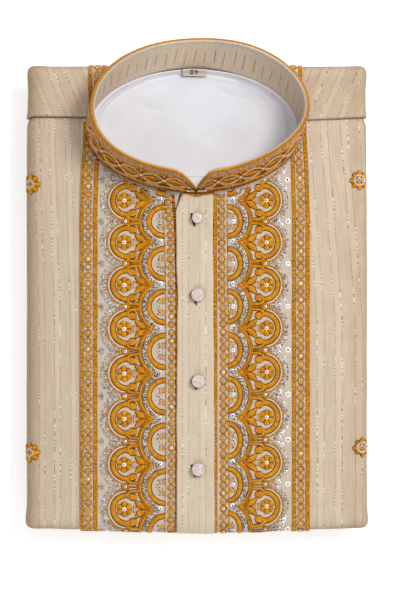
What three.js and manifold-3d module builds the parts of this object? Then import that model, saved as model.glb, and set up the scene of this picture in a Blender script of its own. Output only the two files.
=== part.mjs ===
// A kurta folded flat for the shelf, lying on its back with the stand collar up.
// Millimetres. +X is to the right of someone looking down at the front, +Y runs from hem to collar, +Z is up.
//
// Everything outside lies on one folded pack: a rounded rectangle whose top edge rolls over on all four
// sides. Cloth coordinates (s, t) are measured on that surface. Over the flat of the pack they equal x and y,
// and past it they run down the roll. A panel, strip or motif is laid out flat, then placed by onCloth().
import * as THREE from "three";
import { mergeVertices } from "three/addons/utils/BufferGeometryUtils.js";
import Module from "manifold-3d";

const wasm = await Module();
wasm.setup();

// ---------------------------------------------------------------- driving dimensions

const PACK = {
  halfWidth: 126, // the folded pack is 252 wide and 344 long
  halfLength: 172,
  topHeight: 30, // height of the front above the floor, before the crown
  crown: 3, // the pack is fuller in the middle
  headNarrowing: 3, // the sides draw in towards the shoulders and the foot
  footBow: 3, // the foot's fold is bowed, so its ends lie further up
};
const ROLL = {
  radius: 7,
  wrap: THREE.MathUtils.degToRad(145), // how far the cloth follows the roll round
  steps: 7,
  cornerPower: 2.4, // 2 is a round corner in plan, more is squarer
};
const CLOTH = 1.2; // thickness of a cloth wall
const GAP = 0.3; // between pieces that touch
const SLACK = 0.2; // more, where the facets of two curved pieces differ
const NECK = { x: -2.6, y: 125.6, a: 78.2, b: 45.6 }; // neck seam, seen from above: 393 round
const RIM = { x: 2.3, y: 141.8, a: 78.5, b: 48.5 }; // upper edge of the collar
const COLLAR = {
  height: 30,
  endRadius: 16, // the front ends are rounded over this length
  endHeight: 0.22, // of the full height, at the very end
  endGap: 0.5, // half the gap between the two ends
  columns: 22, // along each half, past its rounded end
  base: 0.8, // the band stands this far above the cloth
};
const SHOULDER_SEAM = 134; // y where the fronts meet the back's shoulders
// Columns on each side of the neck's widest point, where a panel's edge turns from the neck to the shoulder.
const NECK_SIDE = { within: 0.05, beyond: 0.35 };
const PLACKET = { x: -1.2, halfWidth: 13.7, thickness: 1.5, neckSide: 2.4 };
const LINING = { floor: 24, rise: 3.6, inset: 3.4, shift: 0.4, room: 1 };
const LABEL = { x: -1.9, halfWidth: 9, top: 4.5, drop: 6.5, thickness: 0.6 };
const EMBROIDERY = { ground: 0.6, relief: 0.9, far: 85.8, neckSide: 2.8 };
// The embroidered panels mirror each other, but the left one is stretched a little wider.
const SIDES = [
  { name: "left", sign: -1, start: 19.6, stretch: 1.022, shoulder: 79.8 },
  { name: "right", sign: 1, start: 19.3, stretch: 0.965, shoulder: 77.4 },
];
const PATTERN = {
  start: 19.5, // distances across the panel are measured from the inner ring chain
  first: 73, // y of the first scallop's centre
  pitch: 30.8,
  growth: 0.48, // each scallop is this much longer than the last
  scallops: 8,
  outerArch: { at: 50.6, inner: 8.8, outer: 12.8, spread: 88 },
  innerArch: { at: 23.4, inner: 9.2, outer: 12.6, spread: 80 },
  flower: { at: 53, radius: 5.6 },
};
// Distance from the middle, and width, of the straight stitched bars along each panel.
const BARS = [
  { at: 73.9, width: 2.8 },
  { at: 84.1, width: 2.8 },
];
const SHOULDER_BORDER = 17; // its width, part of it under the collar
const BUTTONS = [
  { x: 0.3, y: 60 },
  { x: 0.7, y: 3.2 },
  { x: 1.2, y: -60.6 },
  { x: 1.2, y: -125.9 },
];
const BUTTON = { radius: 5.1, thickness: 3, shankRadius: 1.6, shank: 0.8, edge: 0.9, dome: 0.5 };
const MOTIFS = [
  { name: "left_upper", s: -123.6, t: 85.2 },
  { name: "left_lower", s: -123.8, t: -114 },
  { name: "right_upper", s: 119.3, t: 87.4 },
  { name: "right_lower", s: 122.4, t: -111 },
];
const MOTIF = { radius: 7, lobe: 0.9, lobes: 8, thickness: 0.9, cells: 6 };
// The hidden layers, from the floor up: how far each height stands out past the core rectangle at the sides,
// the head and the foot, and how far the layer stops short of the head. Two folded packets show as two
// swellings below the roll.
const LAYERS = [
  { z: 0, side: 1.6, head: 1.6, foot: 2.2, short: 12 },
  { z: 0.9, side: 4, head: 4, foot: 4.6, short: 12 },
  { z: 2.6, side: 5.4, head: 5.4, foot: 5.8, short: 12 },
  { z: 5, side: 5.6, head: 5.6, foot: 6.1, short: 12 },
  { z: 7, side: 4.4, head: 4.4, foot: 5, short: 12 },
  { z: 7.9, side: 2.4, head: 2.4, foot: 3, short: 12 },
  { z: 8.5, side: 1.2, head: 1.2, foot: 1.6, short: 6 },
  { z: 9.2, side: 3, head: 3, foot: 3.4, short: 6 },
  { z: 11, side: 4.8, head: 4.8, foot: 5.2, short: 6 },
  { z: 13.2, side: 4.9, head: 4.9, foot: 5.3, short: 6 },
  { z: 15.2, side: 3.2, head: 3.2, foot: 3.6, short: 6 },
  { z: 16.2, side: 1.6, head: 1.6, foot: 1.8, short: 3 },
];

// The rectangle inside the rolled edges.
const CORE = {
  x: PACK.halfWidth - ROLL.radius,
  y: PACK.halfLength - ROLL.radius,
};
const WRAP_LENGTH = ROLL.radius * ROLL.wrap;
// The oval that the lining fills.
const DISH = {
  x: NECK.x,
  y: NECK.y - LINING.shift,
  a: NECK.a - LINING.inset,
  b: NECK.b - LINING.inset,
};

// ---------------------------------------------------------------- the folded surface

// How the pack's outline departs from a plain rectangle, and how its top swells.
function bow(x, y, z) {
  const across = x / PACK.halfWidth;
  const along = y / PACK.halfLength;
  const narrowed = x * (1 - (PACK.headNarrowing / PACK.halfWidth) * along ** 4);
  const lifted = y + (y < 0 ? PACK.footBow * across ** 2 * along ** 2 : 0);
  return new THREE.Vector3(narrowed, lifted, z);
}

function crownAt(x, y) {
  const across = Math.max(0, 1 - (x / PACK.halfWidth) ** 2);
  const along = Math.max(0, 1 - (y / PACK.halfLength) ** 2);
  return PACK.crown * Math.sqrt(across * along) * Math.min(1, across * along * 4);
}

// A direction out of a corner of the core rectangle. turn runs from 0, along X, to 1, along Y.
function cornerDirection(turn) {
  const angle = (turn * Math.PI) / 2;
  const power = 2 / ROLL.cornerPower;
  return [Math.cos(angle) ** power, Math.sin(angle) ** power];
}

// The point at cloth coordinates (s, t), lifted off the surface.
function onCloth(s, t, lift = 0) {
  const beyondX = Math.max(Math.abs(s) - CORE.x, 0);
  const beyondY = Math.max(Math.abs(t) - CORE.y, 0);
  const beyond = Math.max(beyondX, beyondY);
  const angle = beyond / ROLL.radius;
  const out = (ROLL.radius + lift) * Math.sin(angle);
  let turn = 0;
  if (beyond > 0) {
    turn = beyondY <= beyondX ? beyondY / beyondX / 2 : 1 - beyondX / beyondY / 2;
  }
  const [alongX, alongY] = beyond > 0 ? cornerDirection(turn) : [0, 0];
  const x = Math.sign(s) * (Math.min(Math.abs(s), CORE.x) + alongX * out);
  const y = Math.sign(t) * (Math.min(Math.abs(t), CORE.y) + alongY * out);
  const z = PACK.topHeight - ROLL.radius + (ROLL.radius + lift) * Math.cos(angle);
  return bow(x, y, z + crownAt(x, y));
}

// Cloth coordinate of a plan distance y: past the core rectangle it runs down the roll.
function alongRoll(y) {
  if (y <= CORE.y) return y;
  return CORE.y + ROLL.radius * Math.asin(Math.min(1, (y - CORE.y) / ROLL.radius));
}

// The neck seam's y at x, on its front (-1) or back (1) half, with the oval grown by grow.
function neckY(x, half, grow = 0) {
  const across = (x - NECK.x) / (NECK.a + grow);
  if (Math.abs(across) >= 1) return null;
  return NECK.y + half * (NECK.b + grow) * Math.sqrt(1 - across ** 2);
}

// ---------------------------------------------------------------- mesh builders

const closed = (positions, triangles) => {
  const geometry = new THREE.BufferGeometry();
  geometry.setAttribute("position", new THREE.Float32BufferAttribute(positions, 3));
  geometry.setIndex(triangles);
  return geometry;
};

// A wall over the grid us x vs. place(u, v, lift) gives its points, and the wall fills lift from low to high.
// Seen from above the high side, u then v turns anticlockwise.
function wall(us, vs, place, low, high) {
  const positions = [];
  const triangles = [];
  const count = us.length * vs.length;
  const at = (i, j, side) => side * count + i * vs.length + j;
  for (const lift of [low, high]) {
    for (const u of us) for (const v of vs) positions.push(...place(u, v, lift).toArray());
  }
  const quad = (a, b, c, d) => triangles.push(a, b, c, a, c, d);
  for (let i = 0; i + 1 < us.length; i++) {
    for (let j = 0; j + 1 < vs.length; j++) {
      quad(at(i, j, 1), at(i + 1, j, 1), at(i + 1, j + 1, 1), at(i, j + 1, 1));
      quad(at(i, j, 0), at(i, j + 1, 0), at(i + 1, j + 1, 0), at(i + 1, j, 0));
    }
  }
  const lastU = us.length - 1;
  const lastV = vs.length - 1;
  for (let i = 0; i < lastU; i++) {
    quad(at(i, 0, 0), at(i + 1, 0, 0), at(i + 1, 0, 1), at(i, 0, 1));
    quad(at(i, lastV, 0), at(i, lastV, 1), at(i + 1, lastV, 1), at(i + 1, lastV, 0));
  }
  for (let j = 0; j < lastV; j++) {
    quad(at(0, j, 0), at(0, j, 1), at(0, j + 1, 1), at(0, j + 1, 0));
    quad(at(lastU, j, 0), at(lastU, j + 1, 0), at(lastU, j + 1, 1), at(lastU, j, 1));
  }
  return closed(positions, triangles);
}

// A solid through closed rings that run anticlockwise from above, listed from the lowest up, with a point
// at the middle of each end.
function stack(rings, bottom, top) {
  const positions = [];
  const triangles = [];
  const size = rings[0].length;
  for (const ring of rings) for (const p of ring) positions.push(...p.toArray());
  positions.push(...bottom.toArray(), ...top.toArray());
  const bottomIndex = rings.length * size;
  for (let k = 0; k < size; k++) {
    const next = (k + 1) % size;
    for (let r = 0; r + 1 < rings.length; r++) {
      const [a, b] = [r * size + k, r * size + next];
      triangles.push(a, b, b + size, a, b + size, a + size);
    }
    triangles.push(bottomIndex, next, k);
    const last = (rings.length - 1) * size;
    triangles.push(bottomIndex + 1, last + k, last + next);
  }
  return closed(positions, triangles);
}

function solidOf(geometry) {
  const bare = geometry.index ? geometry.clone() : geometry;
  bare.deleteAttribute("normal");
  bare.deleteAttribute("uv");
  const merged = mergeVertices(bare, 1e-4);
  return new wasm.Manifold(
    new wasm.Mesh({
      numProp: 3,
      vertProperties: new Float32Array(merged.attributes.position.array),
      triVerts: new Uint32Array(merged.index.array),
    }),
  );
}

function geometryOf(solid) {
  const mesh = solid.getMesh();
  return closed(Array.from(mesh.vertProperties), Array.from(mesh.triVerts));
}

const range = (from, to, steps) =>
  Array.from({ length: steps + 1 }, (_, i) => from + ((to - from) * i) / steps);

// Distances past the core rectangle down the roll, without the first.
const ROLL_STEPS = range(0, WRAP_LENGTH, ROLL.steps).slice(1);

// ---------------------------------------------------------------- materials

const cloth = (color, roughness = 0.85) =>
  new THREE.MeshStandardMaterial({ color, roughness, metalness: 0 });
const KURTA_CLOTH = cloth(0xd8c3a2, 0.7);
const COLLAR_FACING = cloth(0xcdb896, 0.75);
const LINING_CLOTH = cloth(0xe4e3e7);
const THREAD = cloth(0xc4801f, 0.6);
const LABEL_TAPE = cloth(0xd9cfbf);
const BUTTON_FACE = new THREE.MeshStandardMaterial({ color: 0xded0c6, roughness: 0.4, metalness: 0 });

const kurta = new THREE.Group();

function add(name, geometry, material) {
  const mesh = new THREE.Mesh(geometry, material);
  mesh.name = name;
  kurta.add(mesh);
}

// ---------------------------------------------------------------- hidden layers

const RING_STEPS = { corner: 5, straight: 4 };

// One closed ring round the pack that stands out past the core rectangle by side, head and foot, stops short
// of the head, and has heightAt(x, y). A scale below 1 draws it in towards the middle.
function packRing({ side, head, foot, short = 0, scale = 1 }, heightAt) {
  const corners = [
    { alongX: 1, alongY: 1, end: head, back: short },
    { alongX: -1, alongY: 1, end: head, back: short },
    { alongX: -1, alongY: -1, end: foot, back: 0 },
    { alongX: 1, alongY: -1, end: foot, back: 0 },
  ];
  const turned = corners.map(({ alongX, alongY, end, back }, index) => {
    const turns = range(0, 1, RING_STEPS.corner);
    if (index % 2) turns.reverse();
    return turns.map((turn) => {
      const [outX, outY] = cornerDirection(turn);
      return [alongX * (CORE.x + outX * side), alongY * (CORE.y - back + outY * end)];
    });
  });
  const plan = turned.flatMap((corner, index) => {
    const [x, y] = corner[corner.length - 1];
    const [nextX, nextY] = turned[(index + 1) % turned.length][0];
    const between = range(0, 1, RING_STEPS.straight).slice(1, -1);
    return [...corner, ...between.map((f) => [x + (nextX - x) * f, y + (nextY - y) * f])];
  });
  return plan.map(([x, y]) => bow(x * scale, y * scale, heightAt(x * scale, y * scale)));
}

// The flat inside the roll is drawn in by these shares, and stands out past the core rectangle by this much.
const FLAT = { scales: [0.92, 0.75, 0.5, 0.25], out: 0.5 };
const POCKET_HEIGHT = 20;

function foldedLayers() {
  const radius = ROLL.radius - CLOTH - GAP - SLACK;
  const centreZ = PACK.topHeight - ROLL.radius;
  const rings = LAYERS.map((layer) => packRing(layer, () => layer.z));
  for (const turn of range(155, 5, 8)) {
    const angle = THREE.MathUtils.degToRad(turn);
    const out = radius * Math.sin(angle);
    const height = centreZ + radius * Math.cos(angle);
    const crowned = (x, y) => height + (turn < 90 ? crownAt(x, y) : 0);
    rings.push(packRing({ side: out, head: out, foot: out }, crowned));
  }
  const top = centreZ + radius;
  for (const scale of FLAT.scales) {
    const flat = { side: FLAT.out, head: FLAT.out, foot: FLAT.out, scale };
    rings.push(packRing(flat, (x, y) => top + crownAt(x, y)));
  }
  const pack = stack(rings, bow(0, 0, 0), bow(0, 0, top + crownAt(0, 0)));
  const pocket = new THREE.CylinderGeometry(1, 1, POCKET_HEIGHT, 40);
  pocket.rotateX(Math.PI / 2);
  pocket.scale(DISH.a + LINING.room, DISH.b + LINING.room, 1);
  pocket.translate(DISH.x, DISH.y, LINING.floor + POCKET_HEIGHT / 2);
  return geometryOf(solidOf(pack).subtract(solidOf(pocket)));
}
add("folded_layers", foldedLayers(), KURTA_CLOTH);

// ---------------------------------------------------------------- fronts and back

const FOOT_ROWS = ROLL_STEPS.map((d) => -CORE.y - d).reverse();
const BODY_TOP = 60; // below this the rows are straight, and above it they bend round the neck

// Upper limit of a front at s, with the neck grown by grow.
function frontTop(s, grow = 0) {
  const y = neckY(s, -1, grow);
  return y === null ? SHOULDER_SEAM - GAP / 2 : Math.min(y, SHOULDER_SEAM - GAP / 2);
}

// Rows of a panel on the front: t itself up to BODY_TOP, then BODY_TOP plus a share of what is left.
function frontRows(steps, bends) {
  const bent = range(BODY_TOP, BODY_TOP + 1, bends).slice(1);
  return [...FOOT_ROWS, ...range(-CORE.y, BODY_TOP, steps), ...bent];
}

function onFront(grow) {
  return (s, row, lift) => {
    if (row <= BODY_TOP) return onCloth(s, row, lift);
    const share = row - BODY_TOP;
    return onCloth(s, BODY_TOP + share * (frontTop(s, grow) - BODY_TOP), lift);
  };
}

function front(sign) {
  const edge = NECK.x + sign * NECK.a;
  const across = [
    PLACKET.x + (sign * GAP) / 2,
    ...[0.25, 0.5, 0.72, 0.88, 0.97].map((f) => PLACKET.x + (edge - PLACKET.x) * f),
    edge - sign * NECK_SIDE.within,
    edge + sign * NECK_SIDE.beyond,
    ...range(Math.abs(edge) + 12, CORE.x, 2).map((s) => sign * s),
    ...ROLL_STEPS.map((d) => sign * (CORE.x + d)),
  ];
  if (sign < 0) across.reverse();
  return wall(across, frontRows(7, 3), onFront(0), -CLOTH, 0);
}
add("front_left", front(-1), KURTA_CLOTH);
add("front_right", front(1), KURTA_CLOTH);

// Lower limit of the back's shoulder part at s, with the neck grown by grow.
function backStart(s, grow = 0) {
  const seam = SHOULDER_SEAM + GAP / 2;
  const y = neckY(s, 1, grow);
  return y === null ? seam : alongRoll(Math.max(y, seam));
}

// Rows 0 to 1 run from the back's lower limit to the head fold, and each row after that is a step round it.
const BACK_ROWS = [0, 0.5, 1, ...ROLL_STEPS.map((_, index) => index + 2)];

function onBack(grow) {
  return (s, row, lift) => {
    const start = backStart(s, grow);
    const fold = Math.max(CORE.y, start + GAP);
    const steps = (CORE.y + WRAP_LENGTH - fold) / ROLL.steps;
    return onCloth(s, row <= 1 ? start + row * (fold - start) : fold + (row - 1) * steps, lift);
  };
}

function back() {
  const right = NECK.x + NECK.a + NECK_SIDE.beyond;
  const left = NECK.x - NECK.a - NECK_SIDE.beyond;
  const round = NECK.a - NECK_SIDE.within;
  const rolled = ROLL_STEPS.map((d) => CORE.x + d);
  const across = [
    ...rolled.map((s) => -s).reverse(),
    ...range(-CORE.x, left, 2),
    ...range(-1, 1, 18).map((f) => NECK.x + round * Math.sin((f * Math.PI) / 2)),
    ...range(right, CORE.x, 2),
    ...rolled,
  ];
  return wall(across, BACK_ROWS, onBack(0), -CLOTH, 0);
}
add("back", back(), KURTA_CLOTH);

// ---------------------------------------------------------------- lining and size label

// The lining is a shallow dish in the neck, seen through the collar.
function onDish(x, y, lift) {
  const reach = ((x - DISH.x) / DISH.a) ** 2 + ((y - DISH.y) / DISH.b) ** 2;
  return new THREE.Vector3(x, y, LINING.floor + GAP + CLOTH + LINING.rise * reach ** 2 + lift);
}

// u and v run from -1 to 1 over the square that is drawn in to the oval.
function onLining(u, v, lift) {
  const x = DISH.x + DISH.a * u * Math.sqrt(1 - v ** 2 / 2);
  return onDish(x, DISH.y + DISH.b * v * Math.sqrt(1 - u ** 2 / 2), lift);
}
const LINING_CELLS = [-1, -0.8, -0.5, 0, 0.5, 0.8, 1];
add("lining", wall(LINING_CELLS, LINING_CELLS, onLining, -CLOTH, 0), LINING_CLOTH);

// The tab hangs from the back of the neck seam onto the lining.
function onLabel(u, v, lift) {
  const x = LABEL.x + u * LABEL.halfWidth;
  return onDish(x, neckY(x, 1, -LABEL.top) - v * LABEL.drop, lift);
}
const LABEL_SEAT = GAP + SLACK;
const labelWall = wall(range(-1, 1, 2), [1, 0.5, 0], onLabel, LABEL_SEAT, LABEL_SEAT + LABEL.thickness);
add("size_label", labelWall, LABEL_TAPE);

// ---------------------------------------------------------------- collar

// Angles round the neck from one front end to the other, closer together over the rounded ends.
function collarAngles() {
  const fromEnd = [0, 0.6, 1.8, 3.6, 6, 9, 12.5, COLLAR.endRadius];
  const toAngle = (distance) => (COLLAR.endGap + distance) / NECK.a;
  const near = fromEnd.map(toAngle);
  const rest = range(near[near.length - 1], Math.PI, COLLAR.columns).slice(1, -1);
  const half = [...near, ...rest];
  return [...half, Math.PI, ...half.map((angle) => 2 * Math.PI - angle).reverse()];
}

// The neck seam at an angle from the front notch, anticlockwise from above.
function seamAt(angle) {
  const x = NECK.x + NECK.a * Math.sin(angle);
  const y = NECK.y - NECK.b * Math.cos(angle);
  const surface = onCloth(x, alongRoll(y));
  return new THREE.Vector3(x, y, surface.z + COLLAR.base);
}

// The upper edge above it. The band keeps its height, so where it leans further out it stands lower.
function rimAt(angle) {
  const seam = seamAt(angle);
  const x = RIM.x + RIM.a * Math.sin(angle) + (NECK.x - RIM.x) * (1 + Math.cos(angle)) ** 4 / 16;
  const y = RIM.y - RIM.b * Math.cos(angle);
  const lean = Math.hypot(x - seam.x, y - seam.y);
  return new THREE.Vector3(x, y, seam.z + Math.sqrt(COLLAR.height ** 2 - lean ** 2));
}

// The share of the full height that the band has at an angle.
function endShape(angle) {
  const fromNotch = Math.min(angle, 2 * Math.PI - angle) * NECK.a - COLLAR.endGap;
  const left = Math.max(0, 1 - fromNotch / COLLAR.endRadius);
  return COLLAR.endHeight + (1 - COLLAR.endHeight) * Math.sqrt(1 - left ** 2);
}

function onBand(angle, share, lift) {
  const seam = seamAt(angle);
  const up = rimAt(angle).sub(seam);
  const step = 0.01;
  const tangent = seamAt(angle + step).sub(seamAt(angle - step));
  const outward = tangent.cross(up).normalize();
  return seam.addScaledVector(up, share * endShape(angle)).addScaledVector(outward, lift);
}
const BAND_ROWS = [0, 0.5, 1];
add("collar_outer", wall(collarAngles(), BAND_ROWS, onBand, GAP / 2, GAP / 2 + CLOTH), THREAD);
add("collar_facing", wall(collarAngles(), BAND_ROWS, onBand, -GAP / 2 - CLOTH, -GAP / 2), COLLAR_FACING);

// ---------------------------------------------------------------- placket and buttons

function placket() {
  const { x, halfWidth, neckSide, thickness } = PLACKET;
  const rows = frontRows(10, 2);
  return wall(range(x - halfWidth, x + halfWidth, 4), rows, onFront(neckSide), GAP, GAP + thickness);
}
add("placket", placket(), KURTA_CLOTH);

// A shank button, turned round Z, its foot on the placket.
function button() {
  const { radius, thickness, shankRadius, shank, edge, dome } = BUTTON;
  const top = shank + thickness;
  const profile = [
    [0, 0],
    [shankRadius, 0],
    [shankRadius, shank],
    [radius - edge, shank],
    [radius, shank + edge],
    [radius, top - edge],
    [radius - edge, top],
    [radius * 0.5, top + dome * 0.8],
    [0, top + dome],
  ].map(([r, z]) => new THREE.Vector2(r, z));
  return new THREE.LatheGeometry(profile, 16).rotateX(Math.PI / 2);
}

BUTTONS.forEach(({ x, y }, index) => {
  const geometry = geometryOf(solidOf(button()));
  const seat = onCloth(x, y, GAP + PLACKET.thickness + GAP);
  add(`button_${index + 1}`, geometry.translate(seat.x, seat.y, seat.z), BUTTON_FACE);
});

// ---------------------------------------------------------------- embroidery

// Distance across a panel, from the pattern's own to the cloth's.
const acrossPanel = ({ sign, start, stretch }, at) => sign * (start + (at - PATTERN.start) * stretch);
const scallopY = (index) => PATTERN.first - PATTERN.pitch * index - (PATTERN.growth * index * index) / 2;

// A raised arc about (at, y), opening towards the placket.
function arch(side, at, y, { inner, outer, spread }) {
  const facing = side.sign > 0 ? 0 : 180;
  const angles = range(facing - spread, facing + spread, 7).map(THREE.MathUtils.degToRad);
  const place = (angle, radius, lift) =>
    onCloth(acrossPanel(side, at) + radius * Math.cos(angle), y + radius * Math.sin(angle), lift);
  const low = GAP + EMBROIDERY.ground / 2;
  return wall([inner, outer], angles, (r, a, lift) => place(a, r, lift), low, GAP + EMBROIDERY.relief);
}

function flower(side, y) {
  const { at, radius } = PATTERN.flower;
  const low = GAP + EMBROIDERY.ground / 2;
  const petals = new THREE.CylinderGeometry(radius, radius, EMBROIDERY.relief - EMBROIDERY.ground / 2, 9);
  petals.rotateX(Math.PI / 2);
  const seat = onCloth(acrossPanel(side, at), y, (low + GAP + EMBROIDERY.relief) / 2);
  return petals.translate(seat.x, seat.y, seat.z);
}

function embroidery(side) {
  const { far, ground, relief, neckSide } = EMBROIDERY;
  const place = onFront(neckSide);
  const neckEdge = NECK.x + side.sign * (NECK.a + neckSide);
  const nearEdge = PLACKET.x + side.sign * (PLACKET.halfWidth + GAP);
  const across = [
    ...[0, 0.25, 0.5, 0.7, 0.84, 0.93, 0.98].map((f) => nearEdge + (neckEdge - nearEdge) * f),
    neckEdge - side.sign * NECK_SIDE.within,
    neckEdge + side.sign * NECK_SIDE.beyond,
    acrossPanel(side, far),
  ];
  if (side.sign < 0) across.reverse();
  let solid = solidOf(wall(across, frontRows(7, 3), place, GAP, GAP + ground));
  const join = (geometry) => {
    solid = solid.add(solidOf(geometry));
  };
  for (const { at, width } of BARS) {
    const ends = [at - width / 2, at + width / 2].map((u) => acrossPanel(side, u)).sort((a, b) => a - b);
    join(wall(ends, frontRows(7, 3), onFront(neckSide), GAP + ground / 2, GAP + relief));
  }
  for (let index = 0; index < PATTERN.scallops; index++) {
    join(arch(side, PATTERN.outerArch.at, scallopY(index), PATTERN.outerArch));
    join(flower(side, scallopY(index)));
    if (index + 1 < PATTERN.scallops) {
      join(arch(side, PATTERN.innerArch.at, scallopY(index + 0.5), PATTERN.innerArch));
    }
  }
  return geometryOf(solid);
}
for (const side of SIDES) add(`embroidery_${side.name}`, embroidery(side), THREAD);

// The border carries on over the shoulder beside the collar.
function shoulderBorder({ sign, shoulder }) {
  const across = range(shoulder - SHOULDER_BORDER, shoulder, 4).map((s) => sign * s);
  if (sign < 0) across.reverse();
  return wall(across, BACK_ROWS, onBack(EMBROIDERY.neckSide), GAP, GAP + EMBROIDERY.ground);
}
for (const side of SIDES) add(`shoulder_border_${side.name}`, shoulderBorder(side), THREAD);

// A small lobed flower laid on the side panel, part of it over the roll.
function motif({ s, t }) {
  const cells = range(-1, 1, MOTIF.cells);
  const place = (u, v, lift) => {
    const x = u * Math.sqrt(1 - v ** 2 / 2);
    const y = v * Math.sqrt(1 - u ** 2 / 2);
    const lobed = MOTIF.radius + MOTIF.lobe * Math.cos(MOTIF.lobes * Math.atan2(y, x));
    return onCloth(s + x * lobed, t + y * lobed, lift);
  };
  return wall(cells, cells, place, GAP, GAP + MOTIF.thickness);
}
for (const place of MOTIFS) add(`motif_${place.name}`, motif(place), THREAD);

// ---------------------------------------------------------------- origin at the middle of the base

const box = new THREE.Box3().setFromObject(kurta, true);
const centre = box.getCenter(new THREE.Vector3());
kurta.position.set(-centre.x, -centre.y, -box.min.z);

export default kurta;
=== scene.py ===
import math
import bpy
import numpy as np
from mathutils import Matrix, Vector


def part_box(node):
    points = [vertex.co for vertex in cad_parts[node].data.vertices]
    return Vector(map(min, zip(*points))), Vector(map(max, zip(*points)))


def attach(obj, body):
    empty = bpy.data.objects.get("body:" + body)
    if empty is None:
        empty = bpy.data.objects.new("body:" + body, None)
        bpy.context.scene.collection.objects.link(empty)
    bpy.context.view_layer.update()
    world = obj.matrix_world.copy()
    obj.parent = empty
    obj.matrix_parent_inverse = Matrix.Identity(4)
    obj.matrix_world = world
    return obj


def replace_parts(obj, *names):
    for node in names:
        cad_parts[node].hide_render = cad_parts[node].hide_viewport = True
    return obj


# The looks of a kurta folded flat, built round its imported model. Sizes are in millimetres up to the point
# where a mesh is made, and cloth coordinates (s, t) are measured on the folded surface, as in the part's
# source: over the flat of the pack they equal x and y, and past it they run down the roll.

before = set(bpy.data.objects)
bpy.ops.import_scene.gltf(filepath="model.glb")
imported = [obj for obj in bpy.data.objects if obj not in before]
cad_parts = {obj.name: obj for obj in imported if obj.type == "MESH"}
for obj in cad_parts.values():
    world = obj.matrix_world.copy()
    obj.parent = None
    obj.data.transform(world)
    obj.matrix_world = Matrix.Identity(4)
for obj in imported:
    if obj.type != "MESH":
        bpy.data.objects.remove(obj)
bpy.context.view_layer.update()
rng = np.random.default_rng(15)
MM = 0.001

# ------------------------------------------------------------------ driving sizes, as in the part's source

PACK = {"half_width": 126, "half_length": 172, "top": 30, "crown": 3, "head_narrowing": 3, "foot_bow": 3}
ROLL = {"radius": 7, "wrap": math.radians(145), "corner_power": 3.6}
CLOTH = 1.2
GAP = 0.3
NECK = {"x": -2.6, "y": 125.6, "a": 78.2, "b": 45.6}
RIM = {"x": 2.3, "y": 141.8, "a": 78.5, "b": 48.5}
COLLAR = {
    "height": 30, "end_radius": 20, "end_height": 0.165, "end_gap": 0.5, "base": 0.8, "notch_shift": 1.9,
}
SHOULDER_SEAM = 134
PLACKET = {"x": -1.2, "half_width": 13.7, "thickness": 1.5, "top": 77.6}
LINING = {"floor": 24, "rise": 3.6}
LABEL = {"x": -1.9, "half_width": 9, "top": 1.8, "drop": 5.2, "thickness": 0.6}
GROUND = 0.6
TOP = 0.6  # where the needlework starts, above the kurta's own cloth
PANEL_FAR = 85.8
# Each front. Start and stretch place the pattern across it, and shoulder is the far edge of its border past
# the shoulder. Sink, how far the pattern moves along the panel, and chain, where its inner rings run, are
# lists of t and of values. Bars are (at, width), ring is a radius, and bright says how white the beads and
# sequins are. The stripes count from the first, stand wider apart with less spread, and drift to the right
# down the upper half of the front.
SIDES = {
    "left": {
        "sign": -1, "start": 19.6, "stretch": 1.022, "shoulder": 81.4,
        "sink": ([-155, -120, -88, -55, -22, 0], [-1.8, -2.5, -1.8, -1.3, -0.6, 0]),
        "chain": ([-172, -140, -100, 4, 35, 58, 75], [19.7, 19.0, 18.6, 18.7, 19.4, 20.1, 21.8]),
        "bars": ((74.1, 2.9), (83.4, 2.6)), "ring": 2.7, "bright": 0.3,
        "stripes": {"first": -91.6, "spread": 1.08, "drift": 0.03},
    },
    "right": {
        "sign": 1, "start": 19.3, "stretch": 0.965, "shoulder": 79.0,
        "sink": ([-153, -120, -88, -55], [0.4, -0.9, -0.6, 0]),
        "chain": ([-172, -12, 5, 70], [19.9, 19.7, 18.8, 18.5]),
        "bars": ((74.0, 2.9), (84.3, 2.9), (13.4, 2.7)), "ring": 2.95, "bright": 0.75,
        "stripes": {"first": 91.5, "spread": 0.88, "drift": 0.075},
    },
}
PATTERN = {"start": 19.5, "first": 73, "pitch": 30.8, "growth": 0.48, "scallops": 9}
RING_PITCH = 5.98
SHOULDER_BORDER = 17
BUTTONS = [(0.3, 60), (0.7, 3.2), (1.2, -60.6), (1.2, -125.9)]
BUTTON_RADIUS = 5.1
MOTIFS = {
    "left_upper": (-123.6, 85.2),
    "left_lower": (-123.8, -115.2),
    "right_upper": (120.3, 88.1),
    "right_lower": (122.4, -111),
}
CORE_X = PACK["half_width"] - ROLL["radius"]
CORE_Y = PACK["half_length"] - ROLL["radius"]
WRAP = ROLL["radius"] * ROLL["wrap"]

# The second button's middle is known in both frames, and gives the place of the source's own origin.
button_low, button_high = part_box("button_2")
ORIGIN = np.array([
    (button_low.x + button_high.x) / 2 - BUTTONS[1][0] * MM,
    (button_low.y + button_high.y) / 2 - BUTTONS[1][1] * MM,
    0.0,
])

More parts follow.
